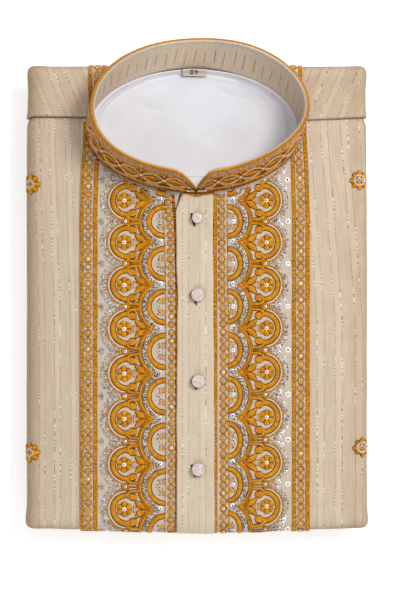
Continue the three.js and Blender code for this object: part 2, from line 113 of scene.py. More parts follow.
# Main creases: from (s, t) to (s, t), how high (troughs are negative) and how wide.
CREASES = [
    (114.5, 48, 119.5, 8, 0.9, 4.5),
    (117.2, 22, 120.4, -6, -1.1, 1.5),
    (119.5, -4, 122.0, -60, 0.5, 4.0),
    (112.0, -20, 108.5, -95, 0.35, 6.0),
    (101.0, 60, 104.0, -10, -0.3, 5.0),
    (93.0, 119, 79.5, 111, -0.6, 2.6),
    (97.0, 116, 83.0, 106, 0.45, 4.0),
    (110.0, 127, 112.0, 96, 0.35, 5.0),
    (-101.5, 110.4, -85.5, 105.0, -0.35, 3.5),
    (-116.0, 120, -112.0, 60, 0.5, 5.0),
    (-108.0, 40, -104.0, -60, 0.35, 7.0),
    (-119.0, -20, -116.5, -100, -0.4, 4.0),
    (-97.0, -70, -99.0, -150, 0.3, 6.0),
    (100.0, -100, 103.0, -160, -0.35, 4.5),
    (114.0, -120, 117.0, -165, 0.45, 4.0),
    (-84.0, 168, -84.5, 140, -0.8, 3.2),
    (-92.0, 166, -90.0, 138, 0.5, 4.0),
    (93.0, 168, 81.0, 152, -0.6, 2.6),
    (100.0, 150, 120.0, 140, 0.3, 5.0),
    (-120.0, 158, -104.0, 139, 0.35, 4.0),
    (4.5, 45, 5.5, 20, 0.3, 3.0),
    (-6.5, -20, -5.5, -50, 0.3, 3.0),
    (6.0, -80, 5.0, -112, 0.3, 3.0),
]


def smooth(x, low, high):
    """0 below low, 1 above high, and a soft step between."""
    u = np.clip((np.asarray(x, float) - low) / (high - low), 0, 1)
    return u * u * (3 - 2 * u)


def add_folds(height, x, y, folds, bowed, rise, fall):
    """Adds soft folds to a height: each is bowed by a share of its length, and fades in and out along it."""
    for x0, y0, x1, y1, depth, width in folds:
        length = math.hypot(x1 - x0, y1 - y0)
        along = ((x - x0) * (x1 - x0) + (y - y0) * (y1 - y0)) / length**2
        bend = bowed * length * np.sin(np.clip(along, 0, 1) * math.pi)
        across = ((x - x0) * (y1 - y0) - (y - y0) * (x1 - x0)) / length - bend
        ends = smooth(along, *rise) * (1 - smooth(along, *fall))
        height = height + depth * ends * np.exp(-((across / width) ** 2))
    return height


def creases(s, t):
    """Height of the cloth's creases and slack over the plain folded surface."""
    height = 0.22 * np.sin(s / 17 + 1.3 * np.sin(t / 41)) * np.sin(t / 29 + 0.8)
    height = height + 0.12 * np.sin(s / 7.3 + t / 19) * np.sin(t / 11.7 - s / 23)
    height = add_folds(height, s, t, CREASES, 0.06, (-0.12, 0.3), (0.6, 1.12))
    fuller = 1.2 * smooth(t, 154, 168) + 0.9 * smooth(-t, 154, 168)
    return height + fuller + 0.8 * smooth(-s, 108, 121) + 0.4 * smooth(s, 108, 121)


# ------------------------------------------------------------------ charts: places on the kurta


def crown(x, y):
    across = np.maximum(0, 1 - (x / PACK["half_width"]) ** 2)
    along = np.maximum(0, 1 - (y / PACK["half_length"]) ** 2)
    return PACK["crown"] * np.sqrt(across * along) * np.minimum(1, across * along * 4)


def bow(x, y, z):
    """The pack's outline as it departs from a plain rectangle, in metres, in the frame."""
    across, along = x / PACK["half_width"], y / PACK["half_length"]
    narrowing = np.where(y > 0, 0.5 * PACK["head_narrowing"], 0.0)
    narrowed = x * (1 - narrowing / PACK["half_width"] * along**4)
    lifted = y + np.where(y < 0, PACK["foot_bow"] * across**2 * along**2, 0)
    return np.stack(np.broadcast_arrays(narrowed, lifted, z), -1) * MM + ORIGIN


def corner_direction(turn):
    angle = turn * math.pi / 2
    power = 2 / ROLL["corner_power"]
    return np.cos(angle) ** power, np.sin(np.maximum(angle, 0)) ** power


def on_cloth(s, t, lift=0.0):
    """Points at cloth coordinates (s, t), lifted off the surface, creases included."""
    s, t, lift = np.broadcast_arrays(*(np.asarray(v, float) for v in (s, t, lift)))
    lift = lift + creases(s, t)
    over_x = np.maximum(np.abs(s) - CORE_X, 0)
    over_y = np.maximum(np.abs(t) - CORE_Y, 0)
    beyond = np.maximum(over_x, over_y)
    angle = beyond / ROLL["radius"]
    out = (ROLL["radius"] + lift) * np.sin(angle)
    side = over_y <= over_x
    turn = np.where(side, over_y / np.maximum(over_x, 1e-9), 2 - over_x / np.maximum(over_y, 1e-9)) / 2
    along_x, along_y = corner_direction(turn)
    x = np.sign(s) * (np.minimum(np.abs(s), CORE_X) + np.where(beyond > 0, along_x * out, 0))
    y = np.sign(t) * (np.minimum(np.abs(t), CORE_Y) + np.where(beyond > 0, along_y * out, 0))
    z = PACK["top"] - ROLL["radius"] + (ROLL["radius"] + lift) * np.cos(angle)
    return bow(x, y, z + crown(x, y))


def along_roll(y):
    past = np.clip((y - CORE_Y) / ROLL["radius"], 0, 1)
    return np.where(y <= CORE_Y, y, CORE_Y + ROLL["radius"] * np.arcsin(past))


def neck_reach(x, y, grow=0.0):
    """Below 1 inside the neck seam's oval, grown by grow, and above 1 outside it."""
    return np.hypot((x - NECK["x"]) / (NECK["a"] + grow), (y - NECK["y"]) / (NECK["b"] + grow))


def neck_y(x, half, grow=0.0):
    across = np.clip((x - NECK["x"]) / (NECK["a"] + grow), -1, 1)
    return NECK["y"] + half * (NECK["b"] + grow) * np.sqrt(1 - across**2)


def seam_at(angle):
    x = NECK["x"] + NECK["a"] * np.sin(angle)
    y = NECK["y"] - NECK["b"] * np.cos(angle)
    past = np.clip((y - CORE_Y) / ROLL["radius"], 0, 1)
    z = PACK["top"] - ROLL["radius"] * (1 - np.sqrt(1 - past**2)) + crown(x, y) + COLLAR["base"]
    return np.stack([x, y, z], -1)


def rim_at(angle):
    seam = seam_at(angle)
    shift = (NECK["x"] - RIM["x"]) * (1 + np.cos(angle)) ** 4 / 16
    x = RIM["x"] + RIM["a"] * np.sin(angle) + shift
    y = RIM["y"] - RIM["b"] * np.cos(angle)
    lean = np.hypot(x - seam[..., 0], y - seam[..., 1])
    return np.stack([x, y, seam[..., 2] + np.sqrt(COLLAR["height"] ** 2 - lean**2)], -1)


def end_shape(angle):
    """The share of its full height that the collar has at an angle from the front notch."""
    from_notch = np.minimum(angle, 2 * math.pi - angle) * NECK["a"] - COLLAR["end_gap"]
    left = np.clip(1 - from_notch / COLLAR["end_radius"], 0, 1)
    return COLLAR["end_height"] + (1 - COLLAR["end_height"]) * (1 - left**2.7)


BAND_ANGLES = np.linspace(0, 2 * math.pi, 721)
BAND_LENGTHS = np.concatenate([[0], np.cumsum(np.linalg.norm(np.diff(seam_at(BAND_ANGLES), axis=0), axis=1))])
BAND = float(BAND_LENGTHS[-1])


def on_band(a, h, lift=0.0):
    """Points on the collar: a round its seam from the front notch, h up it, lift off it outwards."""
    a, h, lift = np.broadcast_arrays(*(np.asarray(v, float) for v in (a, h, lift)))
    angle = np.interp(a, BAND_LENGTHS, BAND_ANGLES)
    from_notch = np.minimum(angle, 2 * math.pi - angle)
    turned = angle + COLLAR["notch_shift"] / NECK["a"] * np.exp(-((from_notch / 0.3) ** 2))
    seam, step = seam_at(turned), 0.01
    up = rim_at(turned) - seam
    tangent = seam_at(turned + step) - seam_at(turned - step)
    outward = np.cross(tangent, up)
    outward /= np.linalg.norm(outward, axis=-1, keepdims=True)
    sag = 0.35 * np.sin(angle * 5 + 0.6) * (h / COLLAR["height"])
    share = (h / COLLAR["height"] * end_shape(angle))[..., None]
    return (seam + up * share + outward * (lift + sag)[..., None]) * MM + ORIGIN


def lining_height(x, y):
    """The lining is a shallow dish that turns up to meet the collar's seam."""
    reach = neck_reach(x, y, -1.6)
    floor = LINING["floor"] + GAP + CLOTH + LINING["rise"] * np.minimum(reach, 1) ** 4
    seam = PACK["top"] + crown(x, y) + 1.8
    height = floor + (seam - floor) * smooth(reach, 0.93, 1.0) ** 2
    groove = 0.3 * np.exp(-(((reach - 0.925) / 0.01) ** 2))
    swell = 0.35 * np.exp(-(((reach - 0.90) / 0.03) ** 2))
    return height - groove + swell + lining_folds(x, y)


# Soft folds in the lining: from (x, y) to (x, y), height and width.
LINING_FOLDS = [
    (-52, 150, -22, 158, 0.5, 3.0),
    (-45, 146, -18, 141, -0.45, 2.4),
    (-8, 118, 30, 112, 0.3, 3.5),
    (48, 108, 64, 138, -0.7, 5.0),
    (40, 100, 58, 118, 0.5, 5.0),
    (-64, 128, -58, 104, 0.45, 4.0),
    (12, 158, 44, 150, -0.35, 2.2),
    (-30, 96, 0, 90, 0.35, 3.0),
    (-5, 100, 26, 94, -0.25, 2.2),
]


def lining_folds(x, y):
    height = 0.12 * np.sin(x / 9 + y / 13) * np.sin(y / 8 - x / 21)
    return add_folds(height, x, y, LINING_FOLDS, 0.1, (-0.1, 0.4), (0.6, 1.1))


def on_lining(x, y, lift=0.0):
    x, y, lift = np.broadcast_arrays(*(np.asarray(v, float) for v in (x, y, lift)))
    return np.stack([x, y, lining_height(x, y) + lift], -1) * MM + ORIGIN


# ------------------------------------------------------------------ materials


def rgb(red, green, blue):
    """A linear colour from sRGB values of 0 to 255."""
    values = np.array([red, green, blue]) / 255
    linear = np.where(values <= 0.04045, values / 12.92, ((values + 0.055) / 1.055) ** 2.4)
    return (*linear.tolist(), 1.0)


class Net:
    """A material's node net, with short calls for the nodes that it uses."""

    def __init__(self, name):
        self.material = bpy.data.materials.new(name)
        self.material.use_nodes = True
        self.tree = self.material.node_tree
        self.shader = self.tree.nodes["Principled BSDF"]

    def put(self, value, socket):
        if isinstance(value, bpy.types.NodeSocket):
            self.tree.links.new(value, socket)
        else:
            socket.default_value = value

    def node(self, kind, inputs=(), output=0, **settings):
        made = self.tree.nodes.new(kind)
        for key, value in settings.items():
            setattr(made, key, value)
        for key, value in dict(inputs).items():
            self.put(value, made.inputs[key])
        return made.outputs[output]

    def math(self, operation, *values, clamp=False):
        return self.node("ShaderNodeMath", enumerate(values), operation=operation, use_clamp=clamp)

    def times(self, a, b):
        return self.math("MULTIPLY", a, b)

    def times_plus(self, a, b, c):
        """a times b, plus c."""
        return self.math("MULTIPLY_ADD", a, b, c)

    def less(self, a, b):
        """a less b: their difference."""
        return self.math("SUBTRACT", a, b)

    def size(self, value):
        """A value without its sign."""
        return self.math("ABSOLUTE", value)

    def uv(self, name):
        split = self.node("ShaderNodeSeparateXYZ", {0: self.node("ShaderNodeUVMap", uv_map=name)})
        return split, split.node.outputs[1]

    def attribute(self, name):
        return self.node("ShaderNodeAttribute", output="Fac", attribute_name=name)

    def vector(self, x, y, z=0.0):
        return self.node("ShaderNodeCombineXYZ", {0: x, 1: y, 2: z})

    def noise(self, vector, scale, detail=2.0, roughness=0.5):
        inputs = {"Vector": vector, "Scale": scale, "Detail": detail, "Roughness": roughness}
        return self.node("ShaderNodeTexNoise", inputs)

    def random(self, value):
        return self.node("ShaderNodeTexWhiteNoise", {"W": value}, noise_dimensions="1D")

    def step(self, value, low, high, start=0.0, end=1.0):
        inputs = {0: value, 1: low, 2: high, 3: start, 4: end}
        return self.node("ShaderNodeMapRange", inputs, interpolation_type="SMOOTHSTEP")

    def mix(self, factor, a, b, blend="MIX"):
        inputs = {0: factor, 6: a, 7: b}
        return self.node("ShaderNodeMix", inputs, output=2, data_type="RGBA", blend_type=blend)

    def grey(self, value):
        return self.node("ShaderNodeCombineColor", {0: value, 1: value, 2: value})

    def set(self, **inputs):
        for name, value in inputs.items():
            self.put(value, self.shader.inputs[name.replace("_", " ")])

    def bump(self, height, strength, distance):
        inputs = {"Height": height, "Strength": strength, "Distance": distance}
        self.set(Normal=self.node("ShaderNodeBump", inputs))


STRIPE = {"pitch": 12.3, "pale": 4.3, "wander": 1.2}


def cloth_material(name, base, pale, dark, lines, stripes, turned_shade=None, shade=None):
    """Slubbed silk-look cloth: soft pale stripes, each with a dashed gold line down both edges, whose white
    dots are painted glints.

    Lines and stripes say how strongly these show. One colour is painted shade, mixed in where the cloth's
    surface turns down from the flat, and a tone on the vertices mixes in the shade colour, painted shade as
    well."""
    net = Net(name)
    s, t = net.uv("cloth")
    slow = net.less(net.noise(net.vector(net.times(t, 0.014), 0.0), 1.0), 0.5)
    s_wandered = net.times_plus(slow, STRIPE["wander"], s)
    slub = net.noise(net.vector(net.times(s, 1.1), net.times(t, 0.05)), 1.0, 4.0, 0.65)
    weft = net.noise(net.vector(net.times(s, 0.08), net.times(t, 1.3)), 1.0, 3.0, 0.65)
    grain = net.noise(net.vector(s, t), 1.7, 3.0, 0.7)
    cloudy = net.noise(net.vector(s, t), 0.05, 3.0)
    colour = net.mix(net.step(slub, 0.28, 0.74), dark, base)
    colour = net.mix(net.step(weft, 0.5, 0.85, 0.0, 0.4), colour, pale)
    turns = net.math("DIVIDE", s_wandered, STRIPE["pitch"])
    cell = net.math("FLOOR", turns)
    place = net.times(net.math("FRACT", turns), STRIPE["pitch"])
    middle = net.times_plus(net.random(cell), 1.2, STRIPE["pitch"] / 2 - 0.6)
    away = net.size(net.less(place, middle))
    half = STRIPE["pale"] / 2
    inside = net.step(away, half - 1.1, half + 0.5, 1.0, 0.0)
    fade = net.noise(net.vector(net.times(cell, 3.7), net.times(t, 0.03)), 1.0)
    pale_share = net.times(inside, net.step(fade, 0.3, 0.65, 0.55 * stripes, stripes))
    colour = net.mix(pale_share, colour, pale)
    left_side = net.math("LESS_THAN", place, middle)
    seed = net.times_plus(left_side, 41.7, net.times(cell, 5.3))
    line = net.step(net.size(net.less(away, half + 0.1)), 0.12, 0.42, 1.0, 0.0)
    runs = net.noise(net.vector(seed, net.times(t, 0.05)), 1.0, 1.0)
    dash = net.step(runs, 0.49, 0.55)
    strength = net.noise(net.vector(seed, net.times(t, 0.4)), 1.0, 2.0)
    faint = net.times(line, net.step(strength, 0.3, 0.7, 0.15 * lines, 0.6 * lines))
    colour = net.mix(faint, colour, rgb(158, 122, 78))
    # The dashes are gold thread dotted with white, and the white dots are painted glints.
    glint_dots = net.noise(net.vector(seed, net.times(t, 0.9)), 1.0, 0.0)
    gold = net.mix(net.step(glint_dots, 0.44, 0.54), rgb(126, 98, 56), rgb(255, 250, 230))
    gold_share = net.times(net.times(line, dash), min(0.75 * lines, 0.8))
    colour = net.mix(gold_share, colour, gold)
    # Painted shade: the colour turns towards a shade colour as the surface turns from facing up.
    if turned_shade is not None:
        normal = net.node("ShaderNodeNewGeometry", output="Normal")
        upward = net.node("ShaderNodeSeparateXYZ", {0: normal}, output=2)
        colour = net.mix(net.step(upward, 0.15, 0.97, 0.9, 0.0), colour, turned_shade)
    # Painted shade from the vertices' tone: along the side folds, on the back and on the facing's sides.
    if shade is not None:
        colour = net.mix(net.attribute("tone"), colour, shade)
    tint = net.times_plus(grain, 0.2, net.times_plus(cloudy, 0.12, 0.84))
    net.set(Base_Color=net.mix(1.0, colour, net.grey(tint), "MULTIPLY"))
    net.set(Metallic=net.times(gold_share, 0.35))
    net.set(Roughness=net.step(slub, 0.3, 0.7, 0.66, 0.54), Sheen_Weight=0.2, Sheen_Roughness=0.4)
    net.set(Specular_IOR_Level=0.3)
    warp = net.math("SINE", net.times(s, 2 * math.pi / 0.42))
    fill = net.math("SINE", net.times(t, 2 * math.pi / 0.42))
    weave = net.times(warp, fill)
    height = net.times_plus(weave, 0.25, net.times_plus(slub, 1.6, weft))
    net.bump(height, 0.35, 0.0003)
    return net.material


STITCH = 0.6


def thread_material(name, dark, middle, light, edge):
    """Satin and cord stitches that lie across each form. Vertices carry a tone from 0, dark, to 1, light,
    and one well below 0 has the edge's colour. The edge colour is also painted shade, in the grooves between
    stitches and along each band's sides."""
    net = Net(name)
    along, across = net.uv("thread")
    turns = net.math("DIVIDE", along, STITCH)
    groove = net.size(net.less(net.math("FRACT", turns), 0.5))
    each = net.random(net.math("FLOOR", turns))
    tone = net.attribute("tone")
    shade = net.times_plus(net.less(each, 0.5), 0.35, tone)
    colour = net.mix(net.step(shade, 0.0, 0.5), dark, middle)
    colour = net.mix(net.step(shade, 0.5, 1.0), colour, light)
    # Painted shade in the grooves between stitches.
    colour = net.mix(net.step(groove, 0.36, 0.5, 0.0, 0.45), colour, edge)
    colour = net.mix(net.step(tone, -0.5, -0.1), edge, colour)
    # Painted shade along each band's sides, its width wobbling with noise.
    rim_shade_wobble = net.noise(net.vector(along, across), 0.9, 2.0)
    start = net.times_plus(rim_shade_wobble, -0.3, 0.86)
    rim = net.step(net.size(across), start, net.math("ADD", start, 0.22))
    colour = net.mix(net.times(rim, 0.92), colour, edge)
    net.set(Base_Color=colour, Roughness=0.42, Specular_IOR_Level=0.2)
    net.bump(net.step(groove, 0.2, 0.5, 1.0, 0.0), 0.6, 0.0002)
    return net.material


def silver_material(name):
    """Grey and silver threads twisted together, with bright and dark flecks."""
    net = Net(name)
    along, across = net.uv("thread")
    flecks = net.noise(net.vector(along, across), 1.3, 3.0, 0.7)
    fine = net.random(net.math("FLOOR", net.times(along, 2.2)))
    colour = net.mix(net.step(flecks, 0.36, 0.5), rgb(96, 68, 42), rgb(182, 166, 148))
    colour = net.mix(net.step(flecks, 0.56, 0.66), colour, rgb(232, 228, 222))
    colour = net.mix(net.times(fine, 0.3), colour, rgb(168, 148, 122))
    # Painted shade: darker brown along the band's sides.
    rim = net.step(net.size(across), 0.75, 1.0)
    colour = net.mix(net.times(rim, 0.7), colour, rgb(120, 84, 44))
    net.set(Base_Color=colour, Metallic=0.25, Roughness=0.35)
    net.bump(flecks, 0.5, 0.0002)
    return net.material


def shiny_material(name, low, high, metallic, roughness):
    """Sequins and beads: each has its own tone between two colours."""
    net = Net(name)
    tone = net.attribute("tone")
    net.set(Base_Color=net.mix(tone, low, high), Metallic=metallic, Roughness=roughness, Coat_Weight=0.3)
    return net.material


def lining_material():
    net = Net("lining_cotton")
    s, t = net.uv("cloth")
    grain = net.noise(net.vector(s, t), 1.8, 3.0)
    cloudy = net.noise(net.vector(s, t), 0.05, 2.0)
    colour = net.mix(net.step(cloudy, 0.35, 0.65), rgb(226, 225, 231), rgb(230, 229, 235))
    colour = net.mix(net.step(grain, 0.55, 0.8, 0.0, 0.25), colour, rgb(205, 204, 208))
    net.set(Base_Color=colour, Roughness=0.8, Sheen_Weight=0.1)
    warp = net.math("SINE", net.times(s, 2 * math.pi / 0.5))
    fill = net.math("SINE", net.times(t, 2 * math.pi / 0.5))
    net.bump(net.times_plus(grain, 1.4, net.times(warp, fill)), 0.3, 0.00025)
    return net.material


def tape_material():
    net = Net("label_tape")
    s, t = net.uv("cloth")
    ribs = net.math("SINE", net.times(s, 2 * math.pi / 0.55))
    grain = net.noise(net.vector(s, t), 2.0, 2.0)
    colour = net.mix(net.step(grain, 0.3, 0.7), rgb(206, 194, 178), rgb(226, 216, 202))
    net.set(Base_Color=colour, Roughness=0.6)
    net.bump(net.times_plus(grain, 0.8, ribs), 0.4, 0.0002)
    return net.material


def button_material():
    """Polished stone-look resin: pink-white mottle with fine pits, tan towards the rim."""
    net = Net("button_stone")
    coordinates = net.node("ShaderNodeTexCoord", output="Object")
    spread = net.node("ShaderNodeVectorMath", {0: coordinates, 1: (1000, 1000, 1000)}, operation="MULTIPLY")
    mottle = net.noise(spread, 0.55, 4.0, 0.65)
    pits = net.noise(spread, 1.7, 2.0, 0.6)
    veins = net.node("ShaderNodeTexVoronoi", {"Vector": spread, "Scale": 0.8}, feature="DISTANCE_TO_EDGE")
    colour = net.mix(net.step(mottle, 0.38, 0.62), rgb(200, 184, 174), rgb(226, 216, 209))
    colour = net.mix(net.step(pits, 0.6, 0.7, 0.0, 0.55), colour, rgb(176, 146, 132))
    colour = net.mix(net.step(veins, 0.0, 0.05, 0.25, 0.0), colour, rgb(188, 160, 146))
    rim = net.attribute("tone")
    colour = net.mix(rim, colour, rgb(168, 128, 92))
    net.set(Base_Color=colour, Roughness=0.32, Coat_Weight=0.35, Coat_Roughness=0.15)
    net.bump(pits, 0.15, 0.0002)
    return net.material


def floor_material():
    net = Net("studio_floor")
    coordinates = net.node("ShaderNodeTexCoord", output="Object")
    grain = net.noise(coordinates, 40.0, 3.0)
    net.set(Base_Color=net.mix(grain, rgb(246, 246, 247), rgb(250, 250, 250)), Roughness=0.9)
    net.set(Emission_Color=WHITE, Emission_Strength=0.45)
    return net.material


# The kurta silk's last two colours and the facing's last one are painted shade.
SILK = cloth_material(
    "kurta_silk", rgb(212, 193, 169), rgb(222, 205, 182), rgb(195, 175, 152), 1.2, 0.4,
    turned_shade=rgb(146, 112, 74), shade=rgb(146, 110, 60)
)
SILK_PLACKET = cloth_material(
    "placket_silk", rgb(217, 200, 177), rgb(223, 207, 184), rgb(206, 188, 165), 1.0, 0.4
)
SILK_GROUND = cloth_material(
    "ground_silk", rgb(212, 196, 178), rgb(222, 208, 190), rgb(192, 174, 156), 0.0, 0.0
)
FACING = cloth_material(
    "facing_silk", rgb(222, 204, 182), rgb(231, 214, 193), rgb(208, 188, 165), 0.5, 0.25,
    shade=rgb(172, 150, 126)
)
COLLAR_GROUND = cloth_material(
    "collar_ground", rgb(142, 84, 26), rgb(176, 118, 52), rgb(104, 56, 12), 0.0, 0.0
)
# Each thread's last colour is its edge colour: dark stitches, and painted shade in grooves, along band sides
# and in outlines.
ORANGE = thread_material(
    "orange_thread", rgb(158, 92, 0), rgb(206, 132, 0), rgb(232, 162, 4), rgb(88, 42, 0)
)
BROWN = thread_material(
    "collar_thread", rgb(124, 62, 0), rgb(188, 106, 0), rgb(226, 148, 6), rgb(64, 28, 0)
)
CREAM = thread_material(
    "cream_thread", rgb(200, 182, 156), rgb(222, 208, 188), rgb(238, 228, 214), rgb(168, 138, 100)
)
COLLAR_CREAM = thread_material(
    "collar_cream", rgb(176, 138, 84), rgb(212, 182, 130), rgb(236, 216, 178), rgb(126, 84, 34)
)
PALE = thread_material(
    "pale_thread", rgb(180, 168, 150), rgb(208, 200, 186), rgb(230, 224, 214), rgb(160, 142, 116)
)
DASH = thread_material(
    "dash_thread", rgb(150, 116, 70), rgb(178, 144, 98), rgb(196, 166, 122), rgb(168, 138, 98)
)
SILVER = silver_material("silver_thread")
SEQUIN = shiny_material("sequin", rgb(196, 194, 196), rgb(255, 255, 255), 0.2, 0.25)
BEAD = shiny_material("bead", rgb(52, 36, 26), rgb(226, 222, 216), 0.15, 0.3)
LINING_COTTON = lining_material()
TAPE = tape_material()
BUTTON_STONE = button_material()
LINING_LINE = shiny_material("lining_line", rgb(166, 156, 162), rgb(186, 178, 184), 0.0, 0.8)
# The colour of the line along the shoulder seam: painted shadow.
SEAM_SHADOW_BROWN = shiny_material("seam_shadow_brown", rgb(140, 112, 82), rgb(160, 132, 104), 0.0, 0.8)
SEAM_SHADE = shiny_material("seam_shade", rgb(96, 66, 38), rgb(122, 86, 52), 0.0, 0.9)
# Near black, for the digits and the slits, and for painted shadow round the buttons and the size tab.
DARK_THREAD_AND_SHADOW = shiny_material("dark_thread_and_shadow", rgb(12, 8, 6), rgb(120, 92, 62), 0.0, 0.9)

# ------------------------------------------------------------------ mesh makers


def mesh_piece(name, points, faces, material, uv=None, uv_name="cloth", tone=None):
    """A smooth mesh object in metres, with one UV pair and one tone for each vertex."""
    mesh = bpy.data.meshes.new(name)
    mesh.from_pydata(points.tolist(), [], faces)
    mesh.polygons.foreach_set("use_smooth", np.ones(len(mesh.polygons), bool))
    if uv is not None:
        corners = np.zeros(len(mesh.loops), np.int32)
        mesh.loops.foreach_get("vertex_index", corners)
        layer = mesh.uv_layers.new(name=uv_name)
        layer.uv.foreach_set("vector", np.asarray(uv, np.float32)[corners].ravel())
    if tone is not None:
        mesh.attributes.new("tone", "FLOAT", "POINT").data.foreach_set("value", np.asarray(tone, np.float32))
    mesh.materials.append(material)
    piece = bpy.data.objects.new(name, mesh)
    bpy.context.scene.collection.objects.link(piece)
    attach(piece, "root")
    return piece


def grid_faces(rows, columns, close=False):
    """Quads over a grid of rows x columns, wound so that row then column turns anticlockwise."""
    index = np.arange(rows * columns).reshape(rows, columns)
    if close:
        index = np.concatenate([index, index[:1]])
    quads = np.stack([index[:-1, :-1], index[1:, :-1], index[1:, 1:], index[:-1, 1:]], -1)
    return quads.reshape(-1, 4).tolist()


def cloth_piece(name, points, uv, thickness, material, flip=False, tone=None):
    """A sheet through a grid of points, thickened away from its face."""
    rows, columns = points.shape[:2]
    faces = grid_faces(rows, columns)
    if flip:
        faces = [face[::-1] for face in faces]
    tone = None if tone is None else tone.ravel()
    piece = mesh_piece(name, points.reshape(-1, 3), faces, material, uv.reshape(-1, 2), tone=tone)
    solid = piece.modifiers.new("thickness", "SOLIDIFY")
    solid.thickness = thickness * MM
    solid.offset = -1
    return piece


DARK = -1.0  # the tone of a stitch in its material's edge colour: painted shade in outlines, and dark stitches such as flecks and veins


class Work:
    """Needlework of one finish on one chart, gathered as one mesh.

    A chart gives the place of (a, b, lift). Keep says which (a, b) may be worked, and faces turn over on a
    mirrored chart."""

    def __init__(self, chart, keep=None, mirrored=False):
        self.chart = chart
        self.keep = keep
        self.mirrored = mirrored
        self.points, self.faces, self.uvs, self.tones = [], [], [], []
        self.count = 0

    def add(self, points, faces, uv, tone):
        self.points.append(points.reshape(-1, 3))
        order = -1 if self.mirrored else 1
        self.faces += [[self.count + i for i in face[::order]] for face in faces]
        self.uvs.append(uv.reshape(-1, 2))
        self.tones.append(np.broadcast_to(tone, len(self.points[-1])))
        self.count += len(self.points[-1])

    def with_shade_outline(self, path, width, height=0.5, base=0.0, tone=0.5, closed=False, edge=0.32):
        """A band of stitches on a wider, flat band in the edge colour, whose rim shows as a dark outline:
        painted shade round the form.
        """
        self.ribbon(path, np.asarray(width, float) + 2 * edge, 0.12, base, DARK, closed, 4)
        self.ribbon(path, width, height, base + 0.08, tone, closed)

    def ribbon(self, path, width, height=0.5, base=0.0, tone=0.5, closed=False, sections=5):
        """A domed band of stitches along a path of (a, b) points; its width may vary along it."""
        path = np.asarray(path, float)
        width = np.broadcast_to(np.asarray(width, float), len(path))
        if self.keep is not None:
            kept = self.keep(path[:, 0], path[:, 1])
            if not kept.all():
                edges = np.flatnonzero(np.diff(np.concatenate([[0], kept.astype(int), [0]])))
                for first, last in edges.reshape(-1, 2):
                    if last - first > 1:
                        part = slice(first, last)
                        self.lay(path[part], width[part], height, base, tone, False, sections)
                return
        self.lay(path, width, height, base, tone, closed, sections)

    def lay(self, path, width, height, base, tone, closed, sections):
        if closed:
            ahead, behind = np.roll(path, -1, 0), np.roll(path, 1, 0)
        else:
            ahead = np.concatenate([path[1:], path[-1:]])
            behind = np.concatenate([path[:1], path[:-1]])
        tangent = ahead - behind
        tangent /= np.maximum(np.linalg.norm(tangent, axis=1, keepdims=True), 1e-9)
        normal = np.stack([-tangent[:, 1], tangent[:, 0]], 1)
        steps = np.linalg.norm(np.diff(path, axis=0), axis=1)
        length = np.concatenate([[0], np.cumsum(steps)]) + rng.uniform(0, 50)
        cross = np.linspace(-1, 1, sections)
        offset = cross[None, :] * width[:, None] / 2
        a = path[:, :1] + normal[:, :1] * offset
        b = path[:, 1:] + normal[:, 1:] * offset
        scale = np.minimum(1, width / max(width.max(), 1e-9) + 0.25)[:, None]
        lift = base + height * scale * np.sqrt(np.maximum(1 - cross**2, 0))[None, :]
        uv = np.stack(np.broadcast_arrays(length[:, None], cross[None, :]), -1)
        faces = grid_faces(len(path), sections, closed)
        # The tone wanders at random along each band, and across it runs a painted light-to-shade gradient.
        drift = 0.16 * np.sin(length / 1.5 + 2 * np.sin(length / 3.7))[:, None] + 0.14 * cross[None, :]
        self.add(self.chart(a, b, lift), faces, uv, (tone + drift * (tone > 0.05)).ravel())

    def spot(self, a, b, radius, base, tone=0.5, height=None, sides=8, tilt=0.0):
        """A small dome, or with a height of nearly nothing a flat disc, tilted a little."""
        height = radius if height is None else height
        if self.keep is not None and not self.keep(np.array([a]), np.array([b]))[0]:
            return
        turn = np.linspace(0, 2 * math.pi, sides, endpoint=False) + rng.uniform(0, 1)
        shoulder = (0.8, 0.62) if height > 0.3 * radius else (0.85, 1.0)
        lean = rng.uniform(-tilt, tilt, 2)
        points = []
        for share, up in ((1.0, 0.0), shoulder, (0.0, 1.0)):
            da, db = radius * share * np.cos(turn), radius * share * np.sin(turn)
            if share == 0:
                da, db = da[:1], db[:1]
            points.append(self.chart(a + da, b + db, base + height * up + lean[0] * da + lean[1] * db))
        points = np.concatenate(points)
        faces = []
        for k in range(sides):
            after = (k + 1) % sides
            faces.append([k, after, sides + after, sides + k])
            faces.append([sides + k, sides + after, 2 * sides])
        self.add(points, faces, np.zeros((len(points), 2)), tone)

    def piece(self, name, material, slot):
        tone = np.concatenate(self.tones)
        uv = np.concatenate(self.uvs)
        made = mesh_piece(name, np.concatenate(self.points), self.faces, material, uv, "thread", tone)
        return made


KINDS = ("thread", "silver", "sequins", "beads", "cream")


class Works:
    """A pattern's five works, one for each finish."""

    def __init__(self, chart, keep, mirrored=False):
        self.all = [Work(chart, keep, mirrored) for _ in KINDS]
        self.orange, self.silver, self.sequin, self.bead, self.cream = self.all

    def pieces(self, name, materials):
        """Makes a piece of each work that has something in it. Name has a place for the kind."""
        for kind, work, material in zip(KINDS, self.all, materials):
            if work.count:
                work.piece(name.format(kind), material, "embroidery")


def arc(at, y, radius_a, radius_b, first, last, steps, outward=1):
    """Points of an arc about (at, y): 0 degrees is away from the placket."""
    angle = np.radians(np.linspace(first, last, steps))
    return np.stack([at + outward * radius_a * np.cos(angle), y + radius_b * np.sin(angle)], 1)


def line(a0, b0, a1, b1, steps=2):
    return np.stack([np.linspace(a0, a1, steps), np.linspace(b0, b1, steps)], 1)


